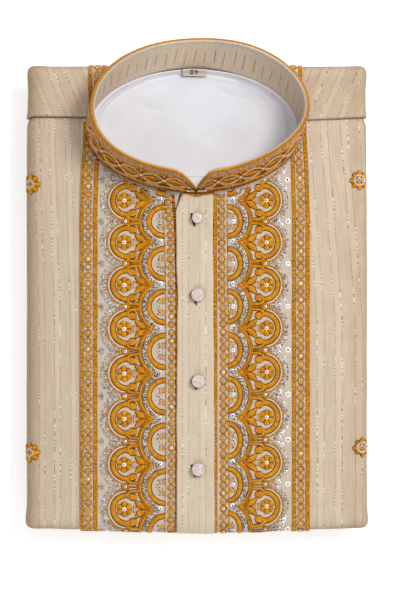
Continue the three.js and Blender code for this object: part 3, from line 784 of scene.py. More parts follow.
def bent_line(points, steps, y=0.0, way=1):
    """Points along straight runs between corners, mirrored by way and moved to y."""
    corners = np.array(points, float) * (1, way) + (0, y)
    share = np.linspace(0, len(points) - 1, steps)
    return np.stack([np.interp(share, range(len(points)), corners[:, k]) for k in (0, 1)], 1)


def leaf_width(steps, widest):
    """Widths along a leaf: pointed at both ends."""
    return widest * np.sin(np.linspace(0.06, 0.97, steps) * math.pi) ** 0.8


# ------------------------------------------------------------------ cloth panels

FOOT_ROWS = -CORE_Y - WRAP * np.linspace(1, 0, 11)[:-1]
BODY_TOP = 60


def rows_to(top, fine=2.2, bends=30):
    """t along each column from the foot's tuck to the column's own top: rows x columns."""
    straight = np.concatenate([FOOT_ROWS, np.arange(-CORE_Y, BODY_TOP, fine)])
    share = np.linspace(0, 1, bends + 1)[:, None]
    bent = BODY_TOP + share * (top[None, :] - BODY_TOP)
    return np.concatenate([np.repeat(straight[:, None], len(top), 1), bent])


def side_fold_shade(s):
    """How much painted shade the cloth takes along its side folds: more on the left one."""
    near = smooth(np.abs(s), 104, 125) ** 1.5
    return near * np.where(s < 0, 0.42, 0.32)


def front_top(s, grow=0.0):
    seam = SHOULDER_SEAM - GAP / 2
    inside = np.abs(s - NECK["x"]) < NECK["a"] + grow
    return np.where(inside, np.minimum(neck_y(s, -1, grow), seam), seam)


def front(name, side):
    sign, stripes = side["sign"], side["stripes"]
    edge = sign * NECK["x"] + NECK["a"]
    flat = np.arange(sign * PLACKET["x"] + GAP / 2, edge - 1, 2.0)
    side = np.arange(edge + 2, CORE_X + WRAP, 1.3)
    across = sign * np.concatenate([flat, [edge - 0.05, edge + 0.35], side, [CORE_X + WRAP]])
    across.sort()
    top = front_top(across)
    t = rows_to(np.where(np.abs(across) > edge, top + 1.6, top))
    s = np.broadcast_to(across, t.shape)
    dip = -1.3 * smooth(t, SHOULDER_SEAM - 4.5, SHOULDER_SEAM - 1.4) * (np.abs(s) > edge)
    drifted = s + stripes["drift"] * np.maximum(t + 16, 0) - stripes["first"]
    uv = np.stack([drifted * stripes["spread"] + STRIPE["pitch"] / 2, t + 300 * sign], -1)
    points = on_cloth(s, t, dip)
    piece = cloth_piece("cloth_" + name, points, uv, CLOTH, SILK, True, side_fold_shade(s))
    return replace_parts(piece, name)


def seam_height(s):
    """The shoulder seam rises a little from the collar to each side."""
    return SHOULDER_SEAM + np.interp(s, [-126, -122, -80, 80, 126], [0.2, 1.5, 1.0, -1.3, 0.9])


def back_rows(across, grow=0.0):
    """t along each column from the shoulder seam, or the neck, round the head fold to its tuck."""
    seam = SHOULDER_SEAM - 0.5 if grow else seam_height(across)
    inside = np.abs(across - NECK["x"]) < NECK["a"] + grow
    start = np.where(inside, along_roll(np.maximum(neck_y(across, 1, grow), seam)), seam)
    fold = np.maximum(CORE_Y, start + GAP)
    near = np.linspace(0, 1, 17)[:-1, None] * (fold - start) + start
    return np.concatenate([near, fold + np.linspace(0, 1, 12)[:, None] * (CORE_Y + WRAP - fold)]), inside


def yoke_lean(s):
    """The shoulders' slope turns the cloth, so its stripes lean away from the neck."""
    return math.radians(24) * smooth(np.abs(s - NECK["x"]), 12, 70) * np.sign(NECK["x"] - s)


def back():
    right, left = NECK["x"] + NECK["a"], NECK["x"] - NECK["a"]
    over = NECK["x"] + (NECK["a"] - 0.05) * np.sin(np.linspace(-0.5, 0.5, 61) * math.pi)
    across = np.concatenate([
        np.linspace(-CORE_X - WRAP, left - 0.35, 44), over, np.linspace(right + 0.35, CORE_X + WRAP, 44)
    ])
    t, inside = back_rows(across)
    s = np.broadcast_to(across, t.shape)
    hem_lift_and_tab_shadow = 0.55 * (1 - smooth(t - t[0], 0.8, 6.0)) * ~inside
    lean = yoke_lean(s)
    past = t - SHOULDER_SEAM
    uv = np.stack([s * np.cos(lean) + past * np.sin(lean) + 400, past * np.cos(lean) - s * np.sin(lean)], -1)
    # Painted shade along the side folds, with a slight even darkening of the back that is stronger on its
    # right half.
    tone = side_fold_shade(s) + 0.07 + 0.06 * (s > 0)
    piece = cloth_piece("cloth_back", on_cloth(s, t, hem_lift_and_tab_shadow), uv, CLOTH, SILK, True, tone)
    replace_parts(piece, "back")
    # A thin brown line along the back's edge at the shoulder seam: painted shadow where the yoke overlaps the
    # front.
    seam_shadow_line = Work(lambda a, b, lift: on_cloth(a, seam_height(a) + b, lift + 0.5))
    for first, last in ((-CORE_X - WRAP + 2, left - 3), (right + 3, CORE_X + WRAP - 2)):
        seam_shadow_line.ribbon(line(first, 0.0, last, 0.0, 60), 0.55, 0.12, 0.0, 0.5)
    seam_shadow_line.piece("shoulder_seam_line", SEAM_SHADOW_BROWN, "kurta_cloth")


def on_placket(a, b, lift):
    return on_cloth(a, b, GAP + PLACKET["thickness"] + lift)


def placket():
    """The strip over the front opening. Its left edge waves and lifts, and its top corner is turned in."""
    t = np.concatenate([FOOT_ROWS, np.arange(-CORE_Y, 62, 2.5), np.linspace(62, PLACKET["top"], 12)])
    slack = smooth(t, -CORE_Y, -CORE_Y + 15)
    wave = 0.12 * np.sin(t / 11) + 0.12 * np.sin(t / 6.1 + 1)
    left_edge = [(-172, -15.1), (-60, -15.0), (0, -14.3), (25, -15.2), (58, -15.3), (65, -15.6), (71, -13.8),
                 (PLACKET["top"], -11.2)]
    left = np.interp(t, *zip(*left_edge)) + wave * slack
    right = 13.0 - 1.1 * smooth(t, -160, 77) + 0.15 * np.sin(t / 9)
    across = np.concatenate([[0, 0.01, 0.03], np.linspace(0.06, 0.94, 24), [0.97, 0.99, 1]])
    s = left[:, None] + across[None, :] * (right - left)[:, None]
    t = np.repeat(t[:, None], len(across), 1)
    near_left, near_right = s - left[:, None], right[:, None] - s
    lift = GAP + PLACKET["thickness"] - 0.7 * (np.exp(-near_left / 0.35) + np.exp(-near_right / 0.35))
    flap = 0.35 + 0.65 * np.clip(np.sin(t / 31 + 0.8), 0, 1)
    lift = lift + 1.0 * slack[:, None] * flap * np.exp(-near_left / 3.2)
    lift = lift - 0.3 * np.exp(-(((near_left - 1.9) / 0.4) ** 2)) * (0.6 + 0.4 * np.sin(t / 1.1))
    for x, y in BUTTONS:
        lift = lift - 0.35 * np.exp(-((s - x) ** 2 + (t - y) ** 2) / 40)
    for x, y in [(b[0], (b[1] + a[1]) / 2) for a, b in zip(BUTTONS, BUTTONS[1:])]:
        lift = lift + 0.5 * np.exp(-(((s - x) / 8) ** 2) - ((t - y) / 22) ** 2)
    uv = np.stack([s + 1207.1, t], -1)
    points, thick = on_cloth(s, t, lift), 0.8 * PLACKET["thickness"]
    piece = cloth_piece("placket_strip", points, uv, thick, SILK_PLACKET, flip=True)
    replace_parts(piece, "placket")
    under = Work(on_cloth)
    edge_t, edge_s = t[4:-12, 0], left[4:-12]
    under.ribbon(np.stack([edge_s - 0.1, edge_t], 1), 1.5 + 0.5 * np.sin(edge_t / 9), 0.1, TOP + 0.2, 0.5)
    under.piece("placket_shadow", SEAM_SHADE, "kurta_cloth")
    tip = np.linspace(63.7, PLACKET["top"], 9)
    fold = np.stack([-15.8 + 4.4 * (tip - 63.7) / 16, tip], 1)
    under = Work(on_cloth)
    under.ribbon(fold, np.linspace(0.8, 1.7, 9), 0.1, TOP + 0.2, 0.2)
    under.piece("placket_fold_shadow", SEAM_SHADE, "kurta_cloth")
    fringe = Work(on_placket)
    top_edge = [(-11.5, 78.3), (-7, 78.0), (-3.8, 76.7), (-1.4, 75.9), (1.5, 76.4), (4.5, 77.3), (9, 78.0),
                (13, 78.6)]
    a = np.linspace(-11.3, 12.8, 40)
    edge = np.stack([a, np.interp(a, *zip(*top_edge)) + 0.15 * np.sin(a * 2)], 1)
    fringe.with_shade_outline(edge, 1.0, 0.5, 0.0, 0.45, edge=0.2)
    fringe.ribbon(edge + (0.4, 1.4), 0.9, 0.6, 0.1, 0.1)
    fringe.piece("neck_fringe", ORANGE, "embroidery")


def lining():
    spread = np.sin(np.linspace(-0.5, 0.5, 121) * math.pi)
    u, v = np.meshgrid(spread, spread)
    x = NECK["x"] + (NECK["a"] - 1.0) * u * np.sqrt(1 - v**2 / 2)
    y = NECK["y"] + (NECK["b"] - 1.0) * v * np.sqrt(1 - u**2 / 2)
    uv = np.stack([x, y], -1)
    piece = cloth_piece("lining_cloth", on_lining(x, y), uv, 0.6, LINING_COTTON, flip=True)
    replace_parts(piece, "lining")
    seam = Work(on_lining)
    # The first three runs are seam lines; the fourth, on the right, is a painted shade line in the lining's
    # side fold.
    runs = ((-150, -14, 5.2, 0.4), (15, 152, 5.2, 0.4), (-140, -20, 3.4, 0.35), (60, 130, 3.2, 0.4))
    for first, last, shrink, width in runs:
        turn = np.radians(np.linspace(first, last, 150))
        inset = shrink + 0.7 * np.sin(turn * 3 + 0.6)
        line_x = NECK["x"] + (NECK["a"] - inset) * np.sin(turn)
        line_y = NECK["y"] - (NECK["b"] - inset) * np.cos(turn)
        seam.ribbon(np.stack([line_x, line_y], 1), width, 0.1, 0.0, 0.5)
    in_notch = np.linspace(-10, 9, 30)
    seam.ribbon(np.stack([in_notch, 91.3 - 0.008 * in_notch**2], 1), 0.35, 0.05, 0.0, 1.0)
    seam.piece("lining_seams_and_shade", LINING_LINE, "lining")


def collar():
    near = COLLAR["end_gap"] + COLLAR["end_radius"] * np.array([0, 0.03, 0.1, 0.2, 0.35, 0.55, 0.78, 1])
    a = np.concatenate([near, np.linspace(near[-1], BAND - near[-1], 170)[1:-1], BAND - near[::-1]])
    a_grid, h_grid = np.meshgrid(a, np.linspace(0, COLLAR["height"], 13), indexing="ij")
    face = GAP / 2 + CLOTH
    outer_uv = np.stack([a_grid, h_grid], -1)
    outer_points = on_band(a_grid, h_grid, face)
    outer = cloth_piece("collar_band", outer_points, outer_uv, CLOTH, COLLAR_GROUND)
    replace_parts(outer, "collar_outer")
    inner_uv = np.stack([a_grid * 1.5, h_grid], -1)
    inner_points = on_band(a_grid, h_grid, -face)
    # Painted shade on the facing's two sides, deeper on the left one.
    side = np.sin(np.interp(a_grid, BAND_LENGTHS, BAND_ANGLES))
    facing_shade = np.where(side < 0, 0.85, 0.45) * side**2
    inner = cloth_piece("collar_inside", inner_points, inner_uv, CLOTH, FACING, True, facing_shade)
    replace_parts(inner, "collar_facing")


def size_tab():
    """A folded tab of tape with the size in plain digits, read from the head end."""
    u = np.linspace(-1, 1, 15)
    v = np.linspace(0, 1, 12)
    x = LABEL["x"] + u[None, :] * (LABEL["half_width"] + 0.2)
    y = neck_y(x, 1, -LABEL["top"]) + 1.0 - v[:, None] * (LABEL["drop"] - 0.1)
    x = np.broadcast_to(x, y.shape)
    curl = 0.9 + 0.5 * np.sin(v * math.pi)[:, None] + 0.2 * x / LABEL["half_width"]
    points = on_lining(x, y, curl + LABEL["thickness"])
    uv = np.stack([x, y], -1)
    piece = cloth_piece("size_tab", points, uv, LABEL["thickness"], TAPE)
    wide, deep = 2 * LABEL["half_width"], LABEL["drop"]
    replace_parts(piece, "size_label")
    middle = float(neck_y(LABEL["x"], 1, -LABEL["top"])) - deep / 2 + 1.3
    digits = Work(lambda a, b, lift: on_lining(LABEL["x"] - a, middle - b, lift + 2.2))
    for path in ([(-1.0, 1.5), (-2.8, -0.6), (-0.4, -0.6)], [(-1.0, 0.2), (-1.0, -1.6)]):
        digits.ribbon(path, 0.72, 0.1, tone=0.0)
    digits.ribbon(arc(1.9, 0, 1.0, 1.3, 0, 345, 17), 0.72, 0.1, tone=0.0, closed=True)
    # A dark line along the tab's left and bottom edges: painted shadow of the tab on the lining.
    corners = [(9.3, -2.2), (9.2, 2.7), (-9.0, 3.0)]
    hem_lift_and_tab_shadow = Work(lambda a, b, lift: on_lining(LABEL["x"] - a, middle - b - 0.0011 * a * a, lift + 1.5))
    sides = [line(*corners[0], *corners[1], 6), line(*corners[1], *corners[2], 16)[1:]]
    hem_lift_and_tab_shadow.ribbon(np.concatenate(sides), 0.5, 0.1)
    hem_lift_and_tab_shadow.piece("size_tab_shadow_line", DARK_THREAD_AND_SHADOW, "label")
    digits.piece("size_digits", DARK_THREAD_AND_SHADOW, "label")


# ------------------------------------------------------------------ the folded stack beneath

# Two folded packets below the roll: from z, to z, the number of layers, how far they stand out, and how far
# short of the head they end.
PACKETS = [(0.0, 8.2, 6, 5.4, 12), (8.3, 16.6, 6, 4.7, 6)]
LAYERS = sum(packet[2] for packet in PACKETS)


def stack_profile():
    """Rows of (z, how far out, how far short of the head, layer number) from the floor to the roll."""
    rows = []
    layer = 0
    for low, high, layers, out, short in PACKETS:
        tall = (high - low) / layers
        for _ in range(layers):
            z_middle = low + tall * (layer % layers + 0.5)
            belly = math.sqrt(max(0.05, 1 - ((z_middle - (low + high) / 2) / (high - low) * 1.7) ** 2))
            stands_out = out * (0.3 + 0.7 * belly) - 1.0
            for share in (0.03, 0.15, 0.35, 0.5, 0.65, 0.85, 0.97):
                bulge = math.sqrt(1 - (2 * share - 1) ** 2)
                rows.append((z_middle + tall * (share - 0.5), stands_out + bulge, short, layer))
            layer += 1
    for turn in np.radians(np.linspace(150, 60, 6)):
        rows.append((23 + 5.2 * math.cos(turn), 5.2 * math.sin(turn), 0, layer))
    rows.append((24.2, 0.3, 0, layer))
    return rows


def outline(steps):
    """Unit directions round the pack: the core corner's share in x and y, and the way out from it."""
    plan = []
    for quarter, (sign_x, sign_y) in enumerate([(1, 1), (-1, 1), (-1, -1), (1, -1)]):
        turns = np.linspace(0, 1, 9)
        turns = turns[::-1] if quarter % 2 else turns
        for turn in turns:
            out_x, out_y = corner_direction(turn)
            plan.append((sign_x, sign_y, sign_x * float(out_x), sign_y * float(out_y)))
    full = []
    for here, after in zip(plan, plan[1:] + plan[:1]):
        gap = abs(here[0] - after[0]) + abs(here[1] - after[1])
        count = steps if gap > 0.5 else 1
        for k in range(count):
            full.append(tuple(a + (b - a) * k / count for a, b in zip(here, after)))
    return np.array(full)


def folded_stack():
    plan = outline(70)
    round_it = np.arange(len(plan)) / len(plan) * 2 * math.pi
    rings = []
    for z, out, short, layer in stack_profile():
        wander = 0.5 * np.sin(round_it * 7 + layer * 2.1) + 0.35 * np.sin(round_it * 23 + layer * 4.7)
        head = np.where(plan[:, 1] > 0, short * plan[:, 1], 0)
        reach = out + (0.6 * wander - 0.5) * (layer < LAYERS)
        x = plan[:, 0] * CORE_X + plan[:, 2] * reach
        y = plan[:, 1] * CORE_Y - head + plan[:, 3] * reach
        sag = 0.25 * np.sin(round_it * 11 + layer) * (0 < layer < LAYERS)
        rings.append(bow(x, y, np.full(len(plan), max(0, z)) + (sag if z > 1 else 0)))
    for scale in (0.9, 0.7, 0.4):
        x, y = plan[:, 0] * CORE_X * scale, plan[:, 1] * CORE_Y * scale
        rings.append(bow(x, y, np.full(len(plan), 24.2)))
    points = np.concatenate(rings + [bow(np.zeros(1), np.zeros(1), np.zeros(1)), rings[-1].mean(0)[None]])
    count, size = len(rings), len(plan)
    faces = []
    for quad in grid_faces(size, count, True):
        faces.append([(q % count) * size + q // count for q in quad])
    low, high = count * size, count * size + 1
    for k in range(size):
        after = (k + 1) % size
        faces.append([low, after, k])
        faces.append([high, (count - 1) * size + k, (count - 1) * size + after])
    along = np.concatenate([np.tile(round_it * 170, count), [0, 0]])
    uv = np.stack([along, (points[:, 2] - ORIGIN[2]) / MM], -1)
    piece = mesh_piece("folded_stack", points, faces, SILK, uv)
    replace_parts(piece, "folded_layers")


# ------------------------------------------------------------------ buttons


def buttons():
    """Turned faces, from the middle of the top down to the shank: (radius, height) pairs."""
    profile = [
        (0, 3.75), (1.2, 3.74), (2.4, 3.66), (3.4, 3.5), (3.95, 3.38), (4.15, 3.34), (4.35, 3.42), (4.7, 3.4),
        (4.95, 3.2), (BUTTON_RADIUS, 2.8), (BUTTON_RADIUS, 2.0), (4.9, 1.5), (4.3, 1.1), (3.0, 0.9),
        (1.7, 0.8), (1.5, 0.5), (1.5, -0.4),
    ]
    turn = np.linspace(0, 2 * math.pi, 41)[:-1]
    for number, (x, y) in enumerate(BUTTONS, 1):
        size = 0.81 if number == 1 else 1.02
        tip = np.radians(rng.uniform(-4, 4, 2))
        radius, height = np.array(profile).T
        radius = radius * size
        dx = radius[None, :] * np.cos(turn)[:, None]
        dy = radius[None, :] * np.sin(turn)[:, None]
        dz = height[None, :] + tip[0] * dx + tip[1] * dy
        seat = on_placket(x, y, 0.0)
        points = seat + np.stack([dx, dy, dz], -1) * MM
        tone = np.repeat(smooth(radius, 4.3 * size, 4.9 * size)[None, :] * 0.85, len(turn), 0)
        faces = [face[::-1] for face in grid_faces(len(turn), len(profile), True)]
        points = points.reshape(-1, 3)
        piece = mesh_piece(f"button_face_{number}", points, faces, BUTTON_STONE, tone=tone.ravel())
        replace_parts(piece, f"button_{number}")


def buttonholes():
    """An upright worked buttonhole under each button, its lower end in sight, and a dark arc round the
    button's left
    side: painted shadow of the button on the cloth."""
    stitches, slits_and_shadow = Work(on_placket), Work(on_placket)
    opening = 1.9 * np.sin(np.linspace(0.15, 0.93, 11) * math.pi) ** 0.4
    for (x, y), (dx, low) in zip(BUTTONS, [(-2.0, -6.6), (-1.1, -8.0), (-1.6, -6.4), (-2.6, -5.6)]):
        top = (x + dx - 2.6, y + 3.5)
        low_end = (x + dx, y + low)
        slits_and_shadow.ribbon(line(*top, *low_end, 11), opening, 0.25, 0.0, 0.0)
        reach = BUTTON_RADIUS * (0.83 if y == BUTTONS[0][1] else 1.03)
        # A dark arc round the button's left side: painted shadow.
        slits_and_shadow.ribbon(arc(x, y, reach, reach, 145, 222, 15), leaf_width(15, 1.0), 0.2, 0.0, 0.5)
        for side in (-1, 1):
            lip = line(top[0] + 1.2 * side, top[1], low_end[0] + 1.1 * side, low_end[1] - 0.3, 11)
            stitches.ribbon(lip, 0.8, 0.3, 0.0, 0.3)
    stitches.piece("buttonhole_stitches", CREAM, "kurta_cloth")
    slits_and_shadow.piece("buttonhole_slits_and_shadow", DARK_THREAD_AND_SHADOW, "kurta_cloth")


# ------------------------------------------------------------------ embroidered panels


# How far the ground, a panel's needlework and a shoulder's stay from the collar's seam.
CLEAR = {"ground": 2.8, "panel": 3.4, "shoulder": 3.2}
# Places across a panel, from the placket: chains of rings, arches, flowers and the rings between them.
AT = {
    "inner_chain": 19.6, "inner_arch": 23.4, "arch": 50.6, "between": 52.1, "flower": 53.0,
    "outer_chain": 79.2,
}
FINISHES = (ORANGE, SILVER, SEQUIN, BEAD, CREAM)


def from_middle(side, at):
    """How far from the kurta's middle a place across the pattern lies."""
    return side["start"] + (at - PATTERN["start"]) * side["stretch"]


def leaned(at, y):
    """How far the panel leans inwards near the shoulder."""
    return 1.9 * smooth(y, BODY_TOP, SHOULDER_SEAM) * np.clip(at / 80, 0, 1.1)


def panel_chart(side):
    def place(at, y, lift):
        s = side["sign"] * (from_middle(side, at) - leaned(at, y))
        return on_cloth(s, y + np.interp(y, *side["sink"]), lift)
    return place


def panel_keep(side):
    def keep(at, y):
        clear = neck_reach(side["sign"] * from_middle(side, at), y, CLEAR["panel"]) > 1
        return (clear | (y < 70)) & (y < SHOULDER_SEAM - 0.6) & (y > -CORE_Y - WRAP + 2)
    return keep


def scallop_y(index):
    return PATTERN["first"] - PATTERN["pitch"] * index - PATTERN["growth"] * index**2 / 2


def eyelet(works, a, b, radius, pale=True, tilt=0.1):
    """A sequin, white or dull, held by a dark stitch through its middle."""
    plate = works.sequin if pale else works.cream
    plate.spot(a, b, radius, TOP + 0.2, rng.uniform(0.5, 1.0), height=0.25, sides=12, tilt=tilt)
    place = (a + rng.uniform(-0.12, 0.12) * radius, b + rng.uniform(-0.12, 0.12) * radius)
    works.bead.spot(*place, min(radius * 0.42, 0.58), TOP + 0.42, 0.0, height=0.2)


def ring_chain(works, at, first, last, radius):
    """A chain of buttonhole-stitched rings, each with a pale eyelet; at gives (y, at) points of its line."""
    for y in np.arange(first, last, RING_PITCH):
        x = float(np.interp(y, *at)) + rng.uniform(-0.12, 0.12)
        across, up = radius - 0.72 + rng.uniform(-0.08, 0.08), radius - 0.68 + rng.uniform(-0.08, 0.12)
        ring, tone = arc(x, y, across, up, 0, 345, 17), rng.uniform(0.45, 0.75)
        works.orange.with_shade_outline(ring, 1.55, 0.75, TOP, tone, closed=True, edge=0.3)
        eyelet(works, x, y, rng.uniform(1.1, 1.25), rng.random() < 0.16, 0.2)


def flower(works, at, y):
    """Six domed petals with outlines, round a white sequin."""
    steps = np.linspace(1.2, 5.95, 12)
    cap = np.sqrt(np.clip(1 - (np.maximum(steps - 3.8, 0) / 2.17) ** 2, 0.02, 1))
    width = np.minimum(1.155 * steps + 0.05, 4.9 * cap)
    for k in range(6):
        turn = math.radians(60 * k + 28 + rng.uniform(-4, 4))
        path = np.stack([at + steps * math.cos(turn), y + steps * math.sin(turn)], 1)
        works.orange.with_shade_outline(path, width, 0.75, TOP, rng.uniform(0.5, 0.75), edge=0.22)
    works.sequin.spot(at, y, 1.5, TOP + 0.6, 1.0, height=0.3, sides=12, tilt=0.08)
    works.bead.spot(at, y, 0.62, TOP + 0.88, 0.0, height=0.15)


def beads_round(works, at, y, half, bright):
    """The beads and sequins outside the outer arch, thicker towards the boundaries."""
    tones = (0.2, 0.35, 0.6, 0.75, 0.85, 0.9) if bright < 0.5 else (0.0, 0.25, 0.6, 0.8, 1.0, 1.0)
    rows = ((17.5, 1.1), (18.6, 1.1), (19.7, 1.3)) if bright < 0.5 else ((17.4, 1.3), (18.8, 1.5))
    for radius, gap in rows:
        limit = math.degrees(math.asin(min(1, (half - 0.6) / radius)))
        for degrees in np.arange(-limit, limit, math.degrees(gap / radius)):
            turn = math.radians(degrees + rng.uniform(-1.5, 1.5))
            x = at + (radius + rng.uniform(-0.25, 0.25)) * math.cos(turn)
            if x > 71.6 or rng.random() < 0.06:
                continue
            place = (x, y + radius * math.sin(turn))
            if rng.random() < 0.3:
                works.silver.spot(*place, 0.75, TOP, 0.5, height=0.5)
            else:
                works.bead.spot(*place, rng.uniform(0.45, 0.7), TOP, rng.choice(tones))
    if bright > 0.5:
        for degrees in (-51, -42, -33, -24, 25, 34, 43, 52):
            if rng.random() < 0.5:
                turn = math.radians(degrees + rng.uniform(-3, 3))
                reach = 18.6 + rng.uniform(-0.8, 0.8)
                place = (at + reach * math.cos(turn), y + reach * math.sin(turn))
                eyelet(works, *place, rng.uniform(1.05, 1.75))
    else:
        for degrees in (-46, -15, 20, 48):
            turn = math.radians(degrees + rng.uniform(-5, 5))
            eyelet(works, at + 18.6 * math.cos(turn), y + 18.6 * math.sin(turn), 0.9, rng.random() < 0.5)


def scallop(works, y, half, bright):
    """One flower in its arches, from the beads by the border to the leaves by the inner cords."""
    orange, bead, cream = works.orange, works.bead, works.cream
    middle = AT["arch"]
    flower(works, AT["flower"], y)
    orange.with_shade_outline(arc(middle, y, 10.8, 10.8, -91, 91, 45), 3.7, 1.0, TOP, 0.62, edge=0.36)
    cream.ribbon(arc(middle, y, 13.7, 13.7, -80, 80, 41), 1.1, 0.5, TOP, 0.6)
    for radius, gap, size in ((15.0, 1.4, 0.72), (16.3, 1.5, 0.6)):
        for degrees in np.arange(-80, 81, math.degrees(gap / radius)):
            turn = math.radians(degrees + rng.uniform(-1, 1))
            x, up = middle + radius * math.cos(turn), radius * math.sin(turn)
            if abs(up) < half:
                dot = orange if radius < 16 or rng.random() < 0.5 else bead
                dot.spot(x, y + up, size, TOP, rng.choice([0.4, 0.6, 0.8, 1.0]), height=0.5)
    beads_round(works, middle, y, half, bright)
    for way in (-1, 1):
        curl(orange, cream, y, way)
        leaf = bent_line([(38.3, 1.2), (40.4, 2.2), (42.4, 3.7), (45.2, 6.7)], 13, y, way)
        orange.with_shade_outline(leaf, leaf_width(13, 4.9), 0.8, TOP + 0.1, 0.6)
        orange.ribbon(line(41.9, y + 0.2 * way, 46.6, y + 2.7 * way, 5), 0.85, 0.5, TOP, 0.7, sections=4)
    orange.ribbon(line(46.5, y - 2.6, 46.5, y + 2.6, 5), 0.7, 0.4, TOP, 0.4, sections=4)
    for k in range(5):
        bead.spot(44.0 + 0.55 * k, y + rng.uniform(-0.25, 0.25) * k, 0.35, TOP, rng.choice([0.2, 0.5, 0.8]))
    orange.ribbon(line(39.4, y, 31.0, y, 9), 6.4 * np.linspace(1, 0.2, 9), 0.4, TOP, 0.35)
    for k in range(6):
        place = (39.2 - 1.2 * k, y + rng.uniform(-0.6, 0.6))
        orange.spot(*place, 0.38, TOP + 0.45, rng.choice([1.0, DARK]), height=0.3)
    bead.spot(33.6, y, 0.55, TOP + 0.5, 0.9)


def curl(orange, cream, y, way):
    """The comma that ends the outer arch, with its tail along the boundary."""
    reach = np.linspace(-1, 1, 11)
    blob = np.stack([46.9 - 3.3 * reach, y + way * (9.3 + 0.3 * reach)], 1)
    orange.with_shade_outline(blob, 5.6 * np.sqrt(np.maximum(1 - reach**2, 0.02)), 0.95, TOP, 0.62)
    corners = [(49.3, 9.0), (50.4, 10.6), (50.0, 12.6), (48.0, 13.7), (44.9, 14.0), (41.0, 14.2)]
    width = np.interp(np.arange(21), [0, 5, 12, 20], [3.0, 3.0, 2.5, 2.0])
    orange.with_shade_outline(bent_line(corners, 21, y, way), width, 0.85, TOP, 0.58, edge=0.3)
    slit = bent_line([(44.6, 11.4), (46.4, 12.2), (48.0, 11.4)], 7, y, way)
    orange.ribbon(slit, 0.6, 0.12, TOP + 0.8, DARK)
    cream.spot(47.6, y + 11.3 * way, 0.7, TOP + 0.6, 0.8, height=0.35)


def inner_arch(works, y, half, bright):
    """The arch between two flowers, beside the placket, with its silver band, cord and sprigs."""
    orange, silver, sequin, bead = works.all[:4]
    across, shift = (11.8, 1.2) if bright < 0.5 else (9.3, 0.0)
    start = AT["inner_arch"]
    orange.with_shade_outline(arc(start, y, across + 0.1, half - 4.7, -90, 90, 41), 3.7, 1.0, TOP, 0.62, edge=0.36)
    for first, sag, kind in ((26.6 + shift, 10.2, "silver"), (30.2 + shift, 9.9, "cord")):
        radius = (half**2 + sag**2) / (2 * sag)
        limit = math.degrees(math.asin(min(1, half / radius)))
        path = arc(first + sag - radius, y, radius, radius, -limit, limit, 41)
        if kind == "silver":
            silver.ribbon(path, 3.9, 0.4, TOP, 0.5, sections=7)
            for x, up in path:
                for beside in (-1.0, 0.1, 1.1):
                    grain = sequin if rng.random() < bright * 0.5 else bead
                    place = (x + beside + rng.uniform(-0.3, 0.3), up + rng.uniform(-0.3, 0.3))
                    grain.spot(*place, 0.46, TOP + 0.3, rng.choice([0.0, 0.0, 0.1, 1.0]), height=0.3)
        else:
            swell = 3.3 + 1.4 * np.abs(np.linspace(-1, 1, 41)) ** 4
            path[:, 0] += 0.75
            orange.with_shade_outline(path, swell, 0.7, TOP, 0.55)
            orange.ribbon(path + (0.35, 0), 0.45, 0.1, TOP + 0.72, DARK, sections=4)
    eyelet(works, 27.0, y - half + 1.1, 1.8 if rng.random() < bright else 1.2)
    for dy in (-6.3, -4.6, -2.9, 2.9, 4.6, 6.3):
        reach, tone = rng.uniform(1.2, 3.2), rng.uniform(0.6, 1.0)
        orange.ribbon(line(start, y + dy, 23.9 + reach, y + dy * 0.9, 4), 1.2, 0.45, TOP, tone, sections=4)
        orange.spot(25.4 + reach, y + dy * 0.88, 0.6, TOP, rng.choice([0.2, 0.6, 0.9]))
        bead.spot(26.2 + reach, y + dy * 0.8 + rng.uniform(-0.4, 0.4), 0.42, TOP, rng.choice([0.0, 0.6, 0.9]))
    eyelet(works, 27.4, y, rng.uniform(1.3, 1.75), bright > 0.5 and rng.random() < 0.6)
    for turn in np.arange(0, 6.28, 0.7):
        place = (27.4 + 2.4 * math.cos(turn), y + 2.5 * math.sin(turn))
        bead.spot(*place, 0.4, TOP, rng.choice([0.1, 0.5, 0.8]))
    # The ring on the flowers' boundary, the stitches either side of it, and the cluster by the border.
    orange.ribbon(line(42.5, y, 49.8, y, 5), 1.5, 0.5, TOP, 0.1)
    for k in range(4):
        place = (43.4 + 1.5 * k, y + rng.uniform(-0.4, 0.4))
        orange.spot(*place, 0.42, TOP + 0.4, rng.choice([-0.4, 0.3, 0.9]), height=0.3)
    ring = arc(AT["between"], y, 2.25, 2.25, 0, 345, 17)
    orange.with_shade_outline(ring, 1.5, 0.8, TOP, 0.55, closed=True, edge=0.25)
    eyelet(works, AT["between"], y, 1.25)
    for k in range(7):
        x = 55.2 + 1.35 * k
        orange.spot(x, y + rng.uniform(-0.9, 0.9), 0.42, TOP, rng.choice([-0.4, 0.3, 0.7]), height=0.4)
        bead.spot(x + 0.6, y + rng.uniform(-1.6, 1.6), 0.5, TOP, rng.choice([0.1, 0.5, 0.9]))
    if bright > 0.5:
        eyelet(works, 62.6, y + 1.5, 1.2)
    for k in range(6):
        turn = math.radians(60 * k + 30)
        if bright > 0.5:
            place = (69.2 + 1.35 * math.cos(turn), y + 1.35 * math.sin(turn))
            sequin.spot(*place, 0.95, TOP, rng.uniform(0.7, 1.0), height=0.5)
        else:
            place = (69.3 + 1.5 * math.cos(turn), y + 2.1 * math.sin(turn))
            (silver if k % 2 else bead).spot(*place, 0.8, TOP, rng.uniform(0.25, 0.6), height=0.45)
    bead.spot(69.3, y, 0.7, TOP + 0.3, rng.choice([0.0, 0.3, 0.6]), height=0.4)
    if bright < 0.5:
        orange.ribbon(line(70.6, y, 73.0, y, 3), 0.7, 0.4, TOP, 0.3, sections=4)


